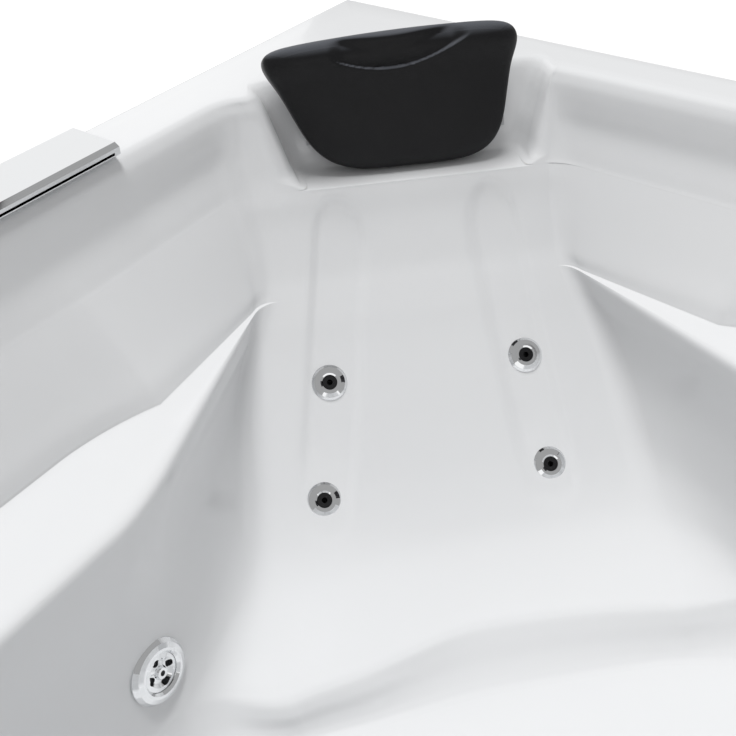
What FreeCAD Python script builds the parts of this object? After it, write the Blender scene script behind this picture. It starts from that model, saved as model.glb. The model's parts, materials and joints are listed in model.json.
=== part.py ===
"""Corner jetted bath: acrylic shell with a corner backrest, four back jets, side jets, waterfall inlet,
pillow, pump, pipework, waste, base frame and curved front panel. Millimetres, +Z up, floor at z = 0.

The plan is described from the wall corner of the deck. `along` runs from that corner down the left wall,
`across` runs from it along the back wall. The seat looks down the diagonal between them: `forward` is the
distance from the corner along the diagonal, `aside` the distance to the bather's left or right of it.
"""
import FreeCAD, Part
import math
import os
import Sketcher

Vector = FreeCAD.Vector
Rotation = FreeCAD.Rotation
ROOT2 = math.sqrt(2.0)
UP = Vector(0, 0, 1)

doc = FreeCAD.newDocument("corner_jetted_bath")

# ---------------------------------------------------------------- driving dimensions
SIZES = (
    # overall
    ("side", 1400, "length of the bath along each wall"),
    ("height", 620, "top of the deck above the floor"),
    ("front_mid", 1560, "wall corner to the middle of the curved front"),
    ("side_return", 450, "straight end of the bath, wall to start of the curve"),
    # shell
    ("wall", 8, "thickness of the reinforced acrylic"),
    ("deck_width", 77, "deck along the two walls"),
    ("front_deck", 85, "deck along the curved front"),
    ("lip_drop", 46, "turned-down edge of the deck"),
    ("edge_round", 12, "rounding from the deck into the basin"),
    ("basin_depth", 480, "deck to basin floor"),
    ("rest_depth", 200, "deck to top of the armrests"),
    ("rest_edge", 294, "wall to the inner edge of the armrests"),
    ("back_half", 246, "half the width of the lower backrest"),
    ("strip_width", 72, "massage recess behind the jets"),
    ("strip_depth", 4, "depth of those recesses"),
    ("pocket_top", 370, "pillow pocket, width at the deck"),
    ("pocket_foot", 300, "pillow pocket, width at its ledge"),
    ("pocket_depth", 98, "deck to the ledge of the pocket"),
    # jets
    ("back_face_d", 44, "chrome face of a back jet"),
    ("back_face_rise", 6, "dome of that face"),
    ("nozzle_d", 20, "aimable nozzle ball of a back jet"),
    ("back_body_d", 34, "body of a back jet behind the wall"),
    ("back_body_length", 52, "length of that body"),
    ("side_face_d", 72, "chrome face of a side jet"),
    ("side_face_rise", 9, "dome of that face"),
    ("rotor_d", 42, "spinning nozzle of a side jet"),
    ("side_body_d", 56, "body of a side jet behind the wall"),
    ("side_body_length", 60, "length of that body"),
    ("nut_height", 9, "clamping nuts behind the wall"),
    ("running_gap", 0.3, "clearance between moving pieces"),
    # pipes
    ("water_pipe_d", 32, "water pipe"),
    ("air_pipe_d", 14, "air pipe"),
    ("branch_d", 18, "branch from the water pipe to a jet"),
    ("suction_face_d", 96, "suction cover"),
    ("suction_pipe_d", 50, "suction pipe"),
    ("suction_depth", 400, "deck to the middle of the suction cover"),
    # pump
    ("motor_d", 130, "motor housing"),
    ("motor_length", 200, "motor housing with its fan cover"),
    ("volute_d", 170, "wet end of the pump"),
    ("volute_length", 74, "wet end of the pump"),
    ("impeller_d", 104, "impeller"),
    ("shaft_d", 16, "motor shaft"),
    # fittings on the deck
    ("spout_length", 262, "waterfall spout along the deck"),
    ("spout_width", 62, "waterfall spout across the deck"),
    ("spout_height", 17, "waterfall spout above the deck"),
    ("spout_start", 552, "wall corner to the near end of the spout"),
    ("spout_overhang", 10, "spout lip beyond the deck edge"),
    ("handle_d", 52, "valve handles"),
    ("handle_height", 46, "valve handles"),
    ("knob_d", 58, "air control knob"),
    ("knob_height", 20, "air control knob"),
    ("button_d", 34, "on and off button"),
    ("button_travel", 4, "on and off button"),
    # waste
    ("waste_d", 70, "flange in the basin floor"),
    ("plug_d", 58, "pop-up plug"),
    ("plug_lift", 8, "pop-up plug"),
    ("overflow_d", 76, "overflow knob"),
    ("overflow_depth", 110, "deck to the middle of the overflow knob"),
    ("drain_pipe_d", 40, "waste outlet"),
    # frame, feet and panel
    ("tube", 30, "square tube of the base frame"),
    ("tube_wall", 2, "wall of that tube"),
    ("rail_top", 70, "top of the base frame above the floor"),
    ("foot_d", 52, "pad of a levelling foot"),
    ("foot_stud_d", 12, "threaded stud of a levelling foot"),
    ("panel_wall", 5, "thickness of the front panel"),
    ("panel_inset", 10, "front panel behind the deck edge"),
    ("panel_lift", 18, "front panel above the floor"),
    # pillow
    ("pillow_top", 314, "pillow width at the top roll"),
    ("pillow_foot", 226, "pillow width at the foot"),
    ("pillow_length", 158, "pillow length along the backrest"),
    ("pillow_thick", 74, "pillow thickness at the top roll"),
    ("peg_d", 14, "pillow pegs"),
    ("peg_length", 16, "pillow pegs"),
)

sheet = doc.addObject("Spreadsheet::Sheet", "Sizes")
for row, (alias, value, note) in enumerate(SIZES, start=1):
    sheet.set("A%d" % row, note)
    sheet.set("B%d" % row, str(value))
    sheet.setAlias("B%d" % row, alias)
doc.recompute()


class Size:
    """A length together with the sheet expression that drives it."""

    def __init__(self, value, text):
        self.value = float(value)
        self.text = text

    def joined(self, other, sign, swapped=False):
        other = sized(other)
        first, second = (other, self) if swapped else (self, other)
        value = {
            "+": lambda p, q: p + q,
            "-": lambda p, q: p - q,
            "*": lambda p, q: p * q,
            "/": lambda p, q: p / q,
        }[sign](first.value, second.value)
        return Size(value, "(%s %s %s)" % (first.text, sign, second.text))

    def __add__(self, other):
        return self.joined(other, "+")

    def __radd__(self, other):
        return self.joined(other, "+", True)

    def __sub__(self, other):
        return self.joined(other, "-")

    def __rsub__(self, other):
        return self.joined(other, "-", True)

    def __mul__(self, other):
        return self.joined(other, "*")

    def __rmul__(self, other):
        return self.joined(other, "*", True)

    def __truediv__(self, other):
        return self.joined(other, "/")

    def __neg__(self):
        return 0 - self

    def __float__(self):
        return self.value


def sized(value):
    """Any plain number or sheet size as a Size."""
    return value if isinstance(value, Size) else Size(value, repr(float(value)))


def size(alias):
    """The sheet size with this alias."""
    return Size(float(sheet.get(alias)), "Sizes." + alias)


def mm(alias):
    """The plain number of a sheet size."""
    return float(sheet.get(alias))


# ---------------------------------------------------------------- plan coordinates
SIDE = mm("side")
HEIGHT = mm("height")
FORWARD = Vector(1, -1, 0) / ROOT2
ASIDE = Vector(1, 1, 0) / ROOT2


def wall_point(along, across, depth=0.0):
    """A point measured from the wall corner along both walls, and down from the deck."""
    return Vector(-SIDE / 2 + across, SIDE / 2 - along, HEIGHT - depth)


def seat_point(forward, aside, depth=0.0):
    """A point measured from the wall corner down the diagonal and aside from it."""
    return wall_point((forward - aside) / ROOT2, (forward + aside) / ROOT2, depth)


CORNER_MID = (SIDE + mm("side_return")) / ROOT2
CORNER_HALF = (SIDE - mm("side_return")) / ROOT2
FRONT_CENTRE = (mm("front_mid") ** 2 - CORNER_MID**2 - CORNER_HALF**2) / (2 * (mm("front_mid") - CORNER_MID))
FRONT_RADIUS = mm("front_mid") - FRONT_CENTRE
CENTRE = FRONT_CENTRE / ROOT2


# ---------------------------------------------------------------- outlines in plan
TAPER_ROUND = 600


def rim_outline(inset, depth):
    """The outer edge of the bath, moved inwards by `inset`."""
    edge = SIDE - inset
    radius = FRONT_RADIUS - inset
    turn = CENTRE + math.sqrt(radius**2 - (edge - CENTRE) ** 2)
    corners = [(edge, turn), (edge, inset), (inset, inset), (inset, edge), (turn, edge)]
    points = [wall_point(p, q, depth) for p, q in corners]
    lines = [Part.LineSegment(points[i], points[i + 1]).toShape() for i in range(4)]
    middle = seat_point(FRONT_CENTRE + radius, 0, depth)
    return Part.Wire(lines + [Part.Arc(points[4], middle, points[0]).toShape()])


def corner_round(before, corner, after, radius):
    """Where an arc of `radius` leaves and meets the two lines at `corner`, and its middle."""
    first = (before - corner).normalize()
    second = (after - corner).normalize()
    half = first.getAngle(second) / 2
    reach = radius / math.tan(half)
    inwards = (first + second).normalize()
    middle = corner + inwards * (radius / math.sin(half) - radius)
    return corner + first * reach, middle, corner + second * reach


def basin_outline(depth, back, edge, radius, front_round, back_round, taper=None, bow=0.0):
    """One level of the basin: back line, two side walls and the curved front.

    `back` is the distance of the back line down the diagonal, `edge` the distance of each side wall from
    its room wall, `radius` that of the front about its centre. With `taper` = (half width, start of the
    straight wall) each side first leaves the back line at that half width and then runs out to its wall.
    `bow` moves the middle of the back line towards the corner.
    """
    inner = radius - front_round
    far = CENTRE + math.sqrt(inner**2 - (edge + front_round - CENTRE) ** 2)
    hub = seat_point(FRONT_CENTRE, 0, depth)

    def half(sign):
        def place(along, across):
            return wall_point(along, across, depth) if sign < 0 else wall_point(across, along, depth)

        end = place(far, edge)
        round_hub = place(far, edge + front_round)
        touch = hub + (round_hub - hub) * (radius / inner)
        between = (end - round_hub) + (touch - round_hub)
        between = round_hub + between.normalize() * front_round
        start = seat_point(back, 0, depth)
        if taper:
            half_width, straight = taper
            corners = [seat_point(back, sign * half_width, depth), place(straight, edge)]
            rounds = [back_round, TAPER_ROUND]
        else:
            corners = [place(ROOT2 * back - edge, edge)]
            rounds = [back_round]
        path = [start] + corners + [end]
        stops = []
        for i, bend in enumerate(rounds):
            stops.append(corner_round(path[i], path[i + 1], path[i + 2], bend))
        return stops, end, between, touch

    left, right = half(-1), half(1)
    edges = []
    middle = seat_point(back - bow, 0, depth)
    edges.append(Part.Arc(right[0][0][0], middle, left[0][0][0]) if bow else
                 Part.LineSegment(right[0][0][0], left[0][0][0]))

    def side(part, flip):
        stops, end, between, touch = part
        run = []
        last = None
        for start, mid, stop in stops:
            if last:
                run.append((last, None, start))
            run.append((start, mid, stop))
            last = stop
        run.append((last, None, end))
        run.append((end, between, touch))
        if flip:
            run = [(c, b, a) for a, b, c in reversed(run)]
        return [Part.Arc(a, b, c) if b else Part.LineSegment(a, c) for a, b, c in run]

    edges += side(left, False)
    edges.append(Part.Arc(left[3], seat_point(FRONT_CENTRE + radius, 0, depth), right[3]))
    edges += side(right, True)
    return Part.Wire([e.toShape() for e in edges])


# ---------------------------------------------------------------- shell
REST = mm("rest_depth")
DEPTH = mm("basin_depth")
WALL = mm("wall")
EDGE_ROUND = mm("edge_round")
BACK_TOP = 330
REST_BACK = 475


def flare(depth, radius):
    """How far a quarter-round edge stands outside its wall at this depth below the top."""
    return radius - math.sqrt(max(radius**2 - (radius - depth) ** 2, 0)) if depth < radius else 0.0


def upper_level(depth, back, slope, grow=0.0):
    """A level above the armrests: walls lean in by `slope` of the way to the armrests."""
    out = flare(max(depth, 0.0), EDGE_ROUND) + grow
    edge = mm("deck_width") + slope * 115 - out
    radius = FRONT_RADIUS - mm("front_deck") - slope * 30 + out
    return basin_outline(depth + grow, back - out * 1.2, edge, radius, 130, 90)


def lower_level(depth, back, half_width, edge, front, bow, grow=0.0):
    """A level below the armrests, where the side walls step in behind the backrest."""
    radius = FRONT_RADIUS - mm("front_deck") - front + grow
    half_width = max(half_width, back - ROOT2 * (edge - 4))
    start = max(800 + 0.2 * (depth - REST), (back + half_width) / ROOT2 + 95)
    return basin_outline(
        depth + grow, back - grow, edge - grow, radius, 150, 60,
        taper=(half_width + 0.4 * grow, start), bow=bow,
    )


RIM_STEPS = (-2, 0, 3, EDGE_ROUND)
# depth, back line, share of the lean towards the armrests
UPPER = ((60, 364, 0.25), (130, 414, 0.64), (REST, REST_BACK, 1.0))
EDGE = mm("rest_edge")
HALF = mm("back_half")
# below the armrests, how far the rounding stands out there
REST_STEPS = ((0, 22), (5, 10), (22, 0))
# depth, back line, half width of the backrest, side wall, front, hollow of the backrest
LOWER = (
    (REST + 46, 520, HALF - 20, EDGE + 8, 36, 0.5),
    (REST + 100, 577, HALF - 4, EDGE + 20, 46, 1.5),
    (REST + 170, 658, HALF, EDGE + 34, 56, 4),
    (REST + 215, 728, HALF - 5, EDGE + 46, 64, 10),
    (REST + 245, 812, HALF - 12, EDGE + 60, 78, 26),
    (DEPTH - 12, 850, HALF - 22, EDGE + 88, 108, 20),
    (DEPTH - 4, 866, HALF - 32, EDGE + 112, 136, 18),
    (DEPTH, 876, HALF - 42, EDGE + 134, 160, 18),
)


def rest_level(step, out, grow=0.0):
    """The rounded inner edge of the armrests."""
    half_width = HALF - 46 + step * 0.5 - out * 0.2
    return lower_level(REST + step, REST_BACK + step, half_width, EDGE - out + step * 0.1, 30, 0, grow)


def basin(grow=0.0):
    """The hollow of the bath, or with `grow` its outside, as one solid."""
    rim = [upper_level(d, BACK_TOP, 0.0, grow) for d in RIM_STEPS]
    upper = [upper_level(*level, grow=grow) for level in UPPER]
    rest = [rest_level(*step, grow=grow) for step in REST_STEPS]
    lower = [lower_level(*level, grow=grow) for level in LOWER]
    return Part.makeLoft(rim + upper, True, True).fuse(Part.makeLoft(rest + lower, True, True))


def merged(pieces):
    """Several overlapping or touching solids as one."""
    whole = pieces[0]
    for piece in pieces[1:]:
        whole = whole.fuse(piece)
    return whole


HOLLOW = basin()
OUTSIDE = basin(WALL)


# ---------------------------------------------------------------- seats on the basin wall
class Seat:
    """A place on the wall of the basin: its point, the direction out of the wall, and the wall there."""

    def __init__(self, start, towards, aside, sink=0.0):
        inner = far_end(HOLLOW, start, towards)
        self.out = wall_normal(HOLLOW, inner)
        self.point = inner - self.out * sink
        outer = far_end(OUTSIDE, start, (self.point - self.out * 60 - start))
        outer_normal = wall_normal(OUTSIDE, outer)
        self.back = abs((outer - self.point).dot(outer_normal) / self.out.dot(outer_normal)) + BACK_GAP
        level = (aside - self.out * aside.dot(self.out)).normalize()
        self.turn = Rotation(level, self.out.cross(level), self.out, "ZXY")

    def placement(self, lift=0.0):
        return FreeCAD.Placement(self.point + self.out * lift, self.turn)

    def cylinder(self, diameter, low, high):
        """A cylinder along the seat's own axis, from `low` to `high` above the wall."""
        return Part.makeCylinder(diameter / 2, high - low, self.point + self.out * low, self.out)


BACK_GAP = 0.15
REACH = 2000


def far_end(solid, start, towards):
    """Where a line from inside the hollow leaves it."""
    ray = Part.makeLine(start, start + towards.normalize() * REACH)
    ends = [v.Point for v in ray.common(solid).Vertexes]
    return max(ends, key=lambda p: (p - start).Length)


def wall_normal(solid, point):
    """Direction from the wall into the hollow at a point of the hollow's skin."""
    vertex = Part.Vertex(point)
    faces = [f for f in solid.Faces if f.distToShape(vertex)[0] < 0.01]
    steep = [f for f in faces if f.Area > 100]
    face = max(steep or faces, key=lambda f: f.Area)
    u, v = face.Surface.parameter(point)
    return face.normalAt(u, v) * -1


# places in the open middle of the basin, from which the wall is looked for, and how deep a face is let in
MIDST = 600
MIDDLE_FORWARD = 950
FACE_SINK = 0.4
JET_SINK = mm("strip_depth") + FACE_SINK
DOWN_LEFT = wall_point(1, 0) - wall_point(0, 0)
DOWN_RIGHT = wall_point(0, 1) - wall_point(0, 0)
LEAN = -0.10
LEAN_FROM = 520


def leaned(forward, aside):
    """The recesses and jets of the backrest lean a little to one side as they run down."""
    return aside + LEAN * (forward - LEAN_FROM)


# name, depth below the deck, where the wall is there, aside
BACK_JETS = (
    ("upper_left", 276, 550, -126), ("upper_right", 276, 550, 126),
    ("lower_left", 370, 658, -143), ("lower_right", 370, 658, 143),
)
SIDE_JETS = (("rear_left", 845, -1), ("front_left", 1085, -1), ("rear_right", 845, 1), ("front_right", 1085, 1))
SIDE_JET_DEPTH = 392
back_seats = {
    name: Seat(seat_point(MIDDLE_FORWARD, leaned(forward, aside), depth), -FORWARD, ASIDE, JET_SINK)
    for name, depth, forward, aside in BACK_JETS
}
side_seats = {}
for name, along, sign in SIDE_JETS:
    towards = -DOWN_RIGHT if sign < 0 else -DOWN_LEFT
    walls = (along, MIDST) if sign < 0 else (MIDST, along)
    level = DOWN_LEFT if sign < 0 else DOWN_RIGHT
    side_seats[name] = Seat(wall_point(*walls, SIDE_JET_DEPTH), towards, level, FACE_SINK)
SUCTION_ALONG = 981
suction_seat = Seat(wall_point(MIDST, SUCTION_ALONG, mm("suction_depth")), -DOWN_LEFT, DOWN_RIGHT, FACE_SINK)
overflow_seat = Seat(seat_point(MIDDLE_FORWARD, 0, mm("overflow_depth")), FORWARD, ASIDE, FACE_SINK)
WASTE_FORWARD = 1180
waste_seat = Seat(seat_point(WASTE_FORWARD, 0, REST), -UP, ASIDE, FACE_SINK)

# ---------------------------------------------------------------- recesses of the backrest
STRIP_TOP = 396
STRIP_FOOT = 702
STRIP_TOP_ASIDE = 100
STRIP_FOOT_ASIDE = 143


def strip_outline(sign):
    """A long rounded recess seen from above, leaning outwards towards its foot."""
    half = mm("strip_width") / 2
    top, bottom = STRIP_TOP + half, STRIP_FOOT - half
    head = seat_point(top, leaned(top, sign * STRIP_TOP_ASIDE))
    foot = seat_point(bottom, leaned(bottom, sign * STRIP_FOOT_ASIDE))
    run = (foot - head).normalize()
    across = Vector(-run.y, run.x, 0) * half
    a, b, c, d = head + across, head - across, foot - across, foot + across
    return Part.Wire([
        Part.Arc(a, head - run * half, b).toShape(), Part.LineSegment(b, c).toShape(),
        Part.Arc(c, foot + run * half, d).toShape(), Part.LineSegment(d, a).toShape(),
    ])


POCKET_BACK = 288
POCKET_LEAN = 46
POCKET_FRONT = 470
POCKET_ROUND = 22
POCKET_ASIDE = leaned(POCKET_BACK + POCKET_LEAN, 0)


def pocket_outline(depth, back, width):
    """One level of the pillow pocket."""
    near, far = POCKET_ASIDE - width / 2, POCKET_ASIDE + width / 2
    points = [
        seat_point(back, near + POCKET_ROUND, depth), seat_point(back, far - POCKET_ROUND, depth),
        seat_point(back + POCKET_ROUND, far, depth), seat_point(POCKET_FRONT, far, depth),
        seat_point(POCKET_FRONT, near, depth), seat_point(back + POCKET_ROUND, near, depth),
    ]
    bulge = POCKET_ROUND * (1 - 1 / ROOT2)
    right = seat_point(back + bulge, far - bulge, depth)
    left = seat_point(back + bulge, near + bulge, depth)
    return Part.Wire([
        Part.LineSegment(points[0], points[1]).toShape(), Part.Arc(points[1], right, points[2]).toShape(),
        Part.LineSegment(points[2], points[3]).toShape(), Part.LineSegment(points[3], points[4]).toShape(),
        Part.LineSegment(points[4], points[5]).toShape(), Part.Arc(points[5], left, points[0]).toShape(),
    ])


def pocket(grow=0.0):
    """The pillow's recess at the head of the backrest."""
    foot = mm("pocket_depth")
    lean = POCKET_LEAN / foot
    levels = (
        (-2.0, POCKET_BACK - 2 * lean, mm("pocket_top")),
        (foot, POCKET_BACK + POCKET_LEAN, mm("pocket_foot")),
    )
    outlines = []
    for depth, back, width in levels:
        lower = depth + grow if depth > 0 or grow == 0 else 0.0
        outlines.append(pocket_outline(lower + (grow if lower == 0 else 0), back - grow, width + 2 * grow))
    return Part.makeLoft(outlines, True, True)


RIM_ROUND = 6
SEAT_MARGIN = 0.6
HOLE_GAP = 0.5
NUT_LANDING = 13
OVERFLOW_NECK = 46
SPOUT_NECK = 26
VALVE_NECK = 22
AIR_NECK = 28
BUTTON_NECK = 30
DECK_NUT = 4
DECK_LINE = 37
SPOUT_MIDDLE = mm("spout_start") + mm("spout_length") / 2
VALVES = (("hot", 900), ("cold", 985))
AIR_ALONG = 760
BUTTON_ALONG = 850
DECK_HOLES = (
    (SPOUT_MIDDLE, DECK_LINE, SPOUT_NECK), (VALVES[0][1], DECK_LINE, VALVE_NECK),
    (VALVES[1][1], DECK_LINE, VALVE_NECK), (DECK_LINE, AIR_ALONG, AIR_NECK),
    (DECK_LINE, BUTTON_ALONG, BUTTON_NECK),
)
# the pillow lies in the pocket: `rise` runs up the back of the pocket, `proud` out of it
lean_angle = math.atan2(POCKET_LEAN, mm("pocket_depth"))
POCKET_RISE = (UP * math.cos(lean_angle) - FORWARD * math.sin(lean_angle))
POCKET_PROUD = (FORWARD * math.cos(lean_angle) + UP * math.sin(lean_angle))
POCKET_TURN = Rotation(ASIDE, POCKET_RISE, ASIDE.cross(POCKET_RISE), "ZXY")
PEG_HEIGHT = 52
PEG_ASIDE = 62


def pocket_point(aside, rise, proud):
    """A point in the pillow pocket, measured from the middle of its ledge."""
    foot = seat_point(POCKET_BACK + POCKET_LEAN, POCKET_ASIDE, mm("pocket_depth"))
    return foot + ASIDE * aside + POCKET_RISE * rise + POCKET_PROUD * proud


def peg_cylinder(sign, diameter, low, high):
    """A cylinder on the axis of one pillow peg."""
    start = pocket_point(sign * PEG_ASIDE, PEG_HEIGHT, low)
    return Part.makeCylinder(diameter / 2, high - low, start, POCKET_PROUD)


def make_shell():
    """Deck, turned-down edge and basin as one skin, with its recesses and fitting holes."""
    deck = Part.Face(rim_outline(0, 0)).extrude(UP * -WALL)
    rim_edges = [e for e in deck.Edges if e.BoundBox.ZMin > HEIGHT - 0.01]
    deck = deck.makeFillet(RIM_ROUND, rim_edges)
    drop = mm("lip_drop")
    ring = Part.Face(rim_outline(0, WALL)).extrude(UP * (WALL - drop))
    ring = ring.cut(Part.Face(rim_outline(WALL, WALL)).extrude(UP * -drop))
    skin = merged([deck, ring, OUTSIDE])
    trim = Part.makeBox(SIDE, SIDE, WALL * 12, Vector(-SIDE / 2, -SIDE / 2, HEIGHT - WALL / 2 - 0.01))
    skin = skin.fuse(pocket(WALL).cut(trim))
    skin = skin.cut(HOLLOW).cut(pocket())
    sunk = HOLLOW.copy()
    sunk.translate(Vector(FORWARD * -1 - UP).normalize() * mm("strip_depth"))
    for sign in (-1, 1):
        bar = Part.Face(strip_outline(sign)).extrude(UP * -DEPTH)
        skin = skin.cut(bar.common(sunk))
    for tool in fitting_holes():
        skin = skin.cut(tool)
    return skin


def fitting_holes():
    """A flat seat, a through hole and a flat for the nut behind, for every fitting in the shell."""
    tools = []
    fits = [(seat, mm("back_face_d"), mm("back_body_d")) for seat in back_seats.values()]
    fits += [(seat, mm("side_face_d"), mm("side_body_d")) for seat in side_seats.values()]
    fits += [(suction_seat, mm("suction_face_d"), mm("suction_pipe_d"))]
    fits += [(overflow_seat, mm("overflow_d"), OVERFLOW_NECK), (waste_seat, mm("waste_d"), mm("drain_pipe_d"))]
    for seat, face, body in fits:
        tools.append(seat.cylinder(face + 2 * SEAT_MARGIN, 0, 8))
        tools.append(seat.cylinder(body + 2 * HOLE_GAP, -30, 5))
        tools.append(seat.cylinder(body + 2 * NUT_LANDING, -seat.back - mm("nut_height") - 5, -seat.back))
    for along, across, neck in DECK_HOLES:
        tools.append(Part.makeCylinder((neck + 2 * HOLE_GAP) / 2, 40, wall_point(along, across, 30), UP))
    for sign in (-1, 1):
        tools.append(peg_cylinder(sign, mm("peg_d") + 2 * HOLE_GAP, -WALL * 2, 5))
    return tools


# ---------------------------------------------------------------- building blocks
nodes = {}


def keep(name, thing, placement=None):
    """Names a finished piece and puts it in its place."""
    thing.Label = name
    if placement:
        thing.Placement = placement
    nodes[name] = thing
    return thing


def code_piece(name, shape):
    """A piece whose form no sketch or primitive gives: its shape is worked out above."""
    thing = doc.addObject("Part::Feature", name)
    thing.Shape = shape
    return keep(name, thing)


def origin_plane(body, role):
    return [item for item in body.Origin.OriginFeatures if item.Role == role][0]


def sketch_on(body, name, role, points=(), circles=()):
    """A closed outline and circles on an origin plane, every corner driven by sheet sizes."""
    sketch = body.newObject("Sketcher::SketchObject", name)
    sketch.AttachmentSupport = [(origin_plane(body, role), "")]
    sketch.MapMode = "FlatFace"
    corners = [(sized(x), sized(y)) for x, y in points]
    for i, (x, y) in enumerate(corners):
        to_x, to_y = corners[(i + 1) % len(corners)]
        ends = Vector(x.value, y.value, 0), Vector(to_x.value, to_y.value, 0)
        sketch.addGeometry(Part.LineSegment(*ends), False)
    for i in range(len(corners)):
        sketch.addConstraint(Sketcher.Constraint("Coincident", i, 2, (i + 1) % len(corners), 1))
    for i, corner in enumerate(corners):
        drive_point(sketch, i, 1, corner)
    for x, y, radius in circles:
        centre = sized(x), sized(y)
        radius = sized(radius)
        spot = Vector(centre[0].value, centre[1].value, 0)
        index = sketch.addGeometry(Part.Circle(spot, Vector(0, 0, 1), radius.value), False)
        drive_point(sketch, index, 3, centre)
        drive(sketch, Sketcher.Constraint("Radius", index, radius.value), radius)
    return sketch


def drive(sketch, constraint, length):
    index = sketch.addConstraint(constraint)
    if "Sizes" in length.text:
        sketch.setExpression("Constraints[%d]" % index, length.text)


def drive_point(sketch, index, end, spot):
    for kind, length in zip(("DistanceX", "DistanceY"), spot):
        drive(sketch, Sketcher.Constraint(kind, -1, 1, index, end, length.value), length)


def new_body(name):
    return doc.addObject("PartDesign::Body", name + "_body")


def turned(name, points, placement=None):
    """A piece turned about its own vertical axis, from (radius, height) corners."""
    body = new_body(name)
    profile = sketch_on(body, name + "_profile", "XZ_Plane", points)
    turn = body.newObject("PartDesign::Revolution", name + "_turn")
    turn.Profile = profile
    turn.ReferenceAxis = (profile, ["V_Axis"])
    turn.Angle = 360
    return keep(name, body, placement)


def padded(name, role, length, points=(), circles=(), placement=None, middle=False):
    """A piece pushed out of a flat outline."""
    body = new_body(name)
    profile = sketch_on(body, name + "_outline", role, points, circles)
    pad = body.newObject("PartDesign::Pad", name + "_pad")
    pad.Profile = profile
    drive_length(pad, length)
    pad.Midplane = middle
    return keep(name, body, placement)


def drive_length(feature, length):
    length = sized(length)
    feature.Length = length.value
    if "Sizes" in length.text:
        feature.setExpression("Length", length.text)


def pocketed(body, name, role, length, points=(), circles=(), copies=1, both=True):
    """A pocket through an outline, repeated round the body's vertical axis."""
    doc.recompute()
    before = body.Shape.Volume
    profile = sketch_on(body, name + "_outline", role, points, circles)
    cut = body.newObject("PartDesign::Pocket", name + "_cut")
    cut.Profile = profile
    cut.Midplane = both
    drive_length(cut, length)
    if copies > 1:
        ring = body.newObject("PartDesign::PolarPattern", name + "_ring")
        ring.Originals = [cut]
        ring.Axis = (profile, ["N_Axis"])
        ring.Angle = 360
        ring.Occurrences = copies
        body.Tip = ring
    doc.recompute()
    if before - body.Shape.Volume < 1:
        raise RuntimeError(name + " cuts nothing")


def group(name, shapes):
    """Several like pieces that share one node."""
    return code_piece(name, Part.Compound(shapes))


def set_of(name, master, placements):
    """Copies of one master piece at several places, as one node in its stead."""
    shapes = copies_of(master, placements)
    del nodes[master.Label]
    return group(name, shapes)


def copies_of(master, placements):
    """The finished shape of a piece at several places."""
    doc.recompute()
    plain = master.Shape.copy()
    plain.Placement = FreeCAD.Placement()
    shapes = []
    for placement in placements:
        copy = plain.copy()
        copy.Placement = placement
        shapes.append(copy)
    return shapes


def pipe_path(points, bend):
    """A route of straight runs joined by tangent arcs."""
    edges = []
    last = points[0]
    for i in range(1, len(points) - 1):
        first, middle, second = corner_round(points[i - 1], points[i], points[i + 1], bend)
        edges.append(Part.LineSegment(last, first).toShape())
        edges.append(Part.Arc(first, middle, second).toShape())
        last = second
    edges.append(Part.LineSegment(last, points[-1]).toShape())
    return Part.Wire(edges)


def pipe(points, diameter, bend=0.0):
    """A round pipe along a route."""
    if len(points) == 2:
        run = points[1] - points[0]
        return Part.makeCylinder(diameter / 2, run.Length, points[0], run)
    path = pipe_path(points, bend)
    start = points[1] - points[0]
    section = Part.Wire(Part.makeCircle(diameter / 2, points[0], start))
    return path.makePipeShell([section], True, False)


# ---------------------------------------------------------------- shell and front panel
code_piece("shell", make_shell())

PANEL_TOP_GAP = 0.3
FOLD_THICK = 4
FOLD_WIDTH = 24


def make_front_panel():
    """The removable skirt round the open sides, tucked behind the turned-down edge of the deck."""
    inset = mm("panel_inset")
    top = HEIGHT - WALL - PANEL_TOP_GAP
    tall = top - mm("panel_lift")
    outer = Part.Face(rim_outline(inset, HEIGHT - top)).extrude(UP * -tall)
    inner = Part.Face(rim_outline(inset + mm("panel_wall"), HEIGHT - top)).extrude(UP * -tall)
    band = outer.cut(inner)
    keep_off = SIDE - inset - mm("panel_wall") - 0.01
    side_cut = Part.makeBox(inset + 12, keep_off, HEIGHT, wall_point(keep_off, 0, HEIGHT))
    back_cut = Part.makeBox(keep_off, inset + 12, HEIGHT, wall_point(inset + 12, 0, HEIGHT))
    fold_depth = HEIGHT - mm("panel_lift") - FOLD_THICK
    foot_fold = Part.Face(rim_outline(inset, fold_depth)).extrude(UP * -FOLD_THICK)
    foot_fold = foot_fold.cut(Part.Face(rim_outline(inset + FOLD_WIDTH, fold_depth)).extrude(UP * -FOLD_THICK))
    return band.fuse(foot_fold).cut(side_cut).cut(back_cut)


code_piece("front_panel", make_front_panel())

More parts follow.
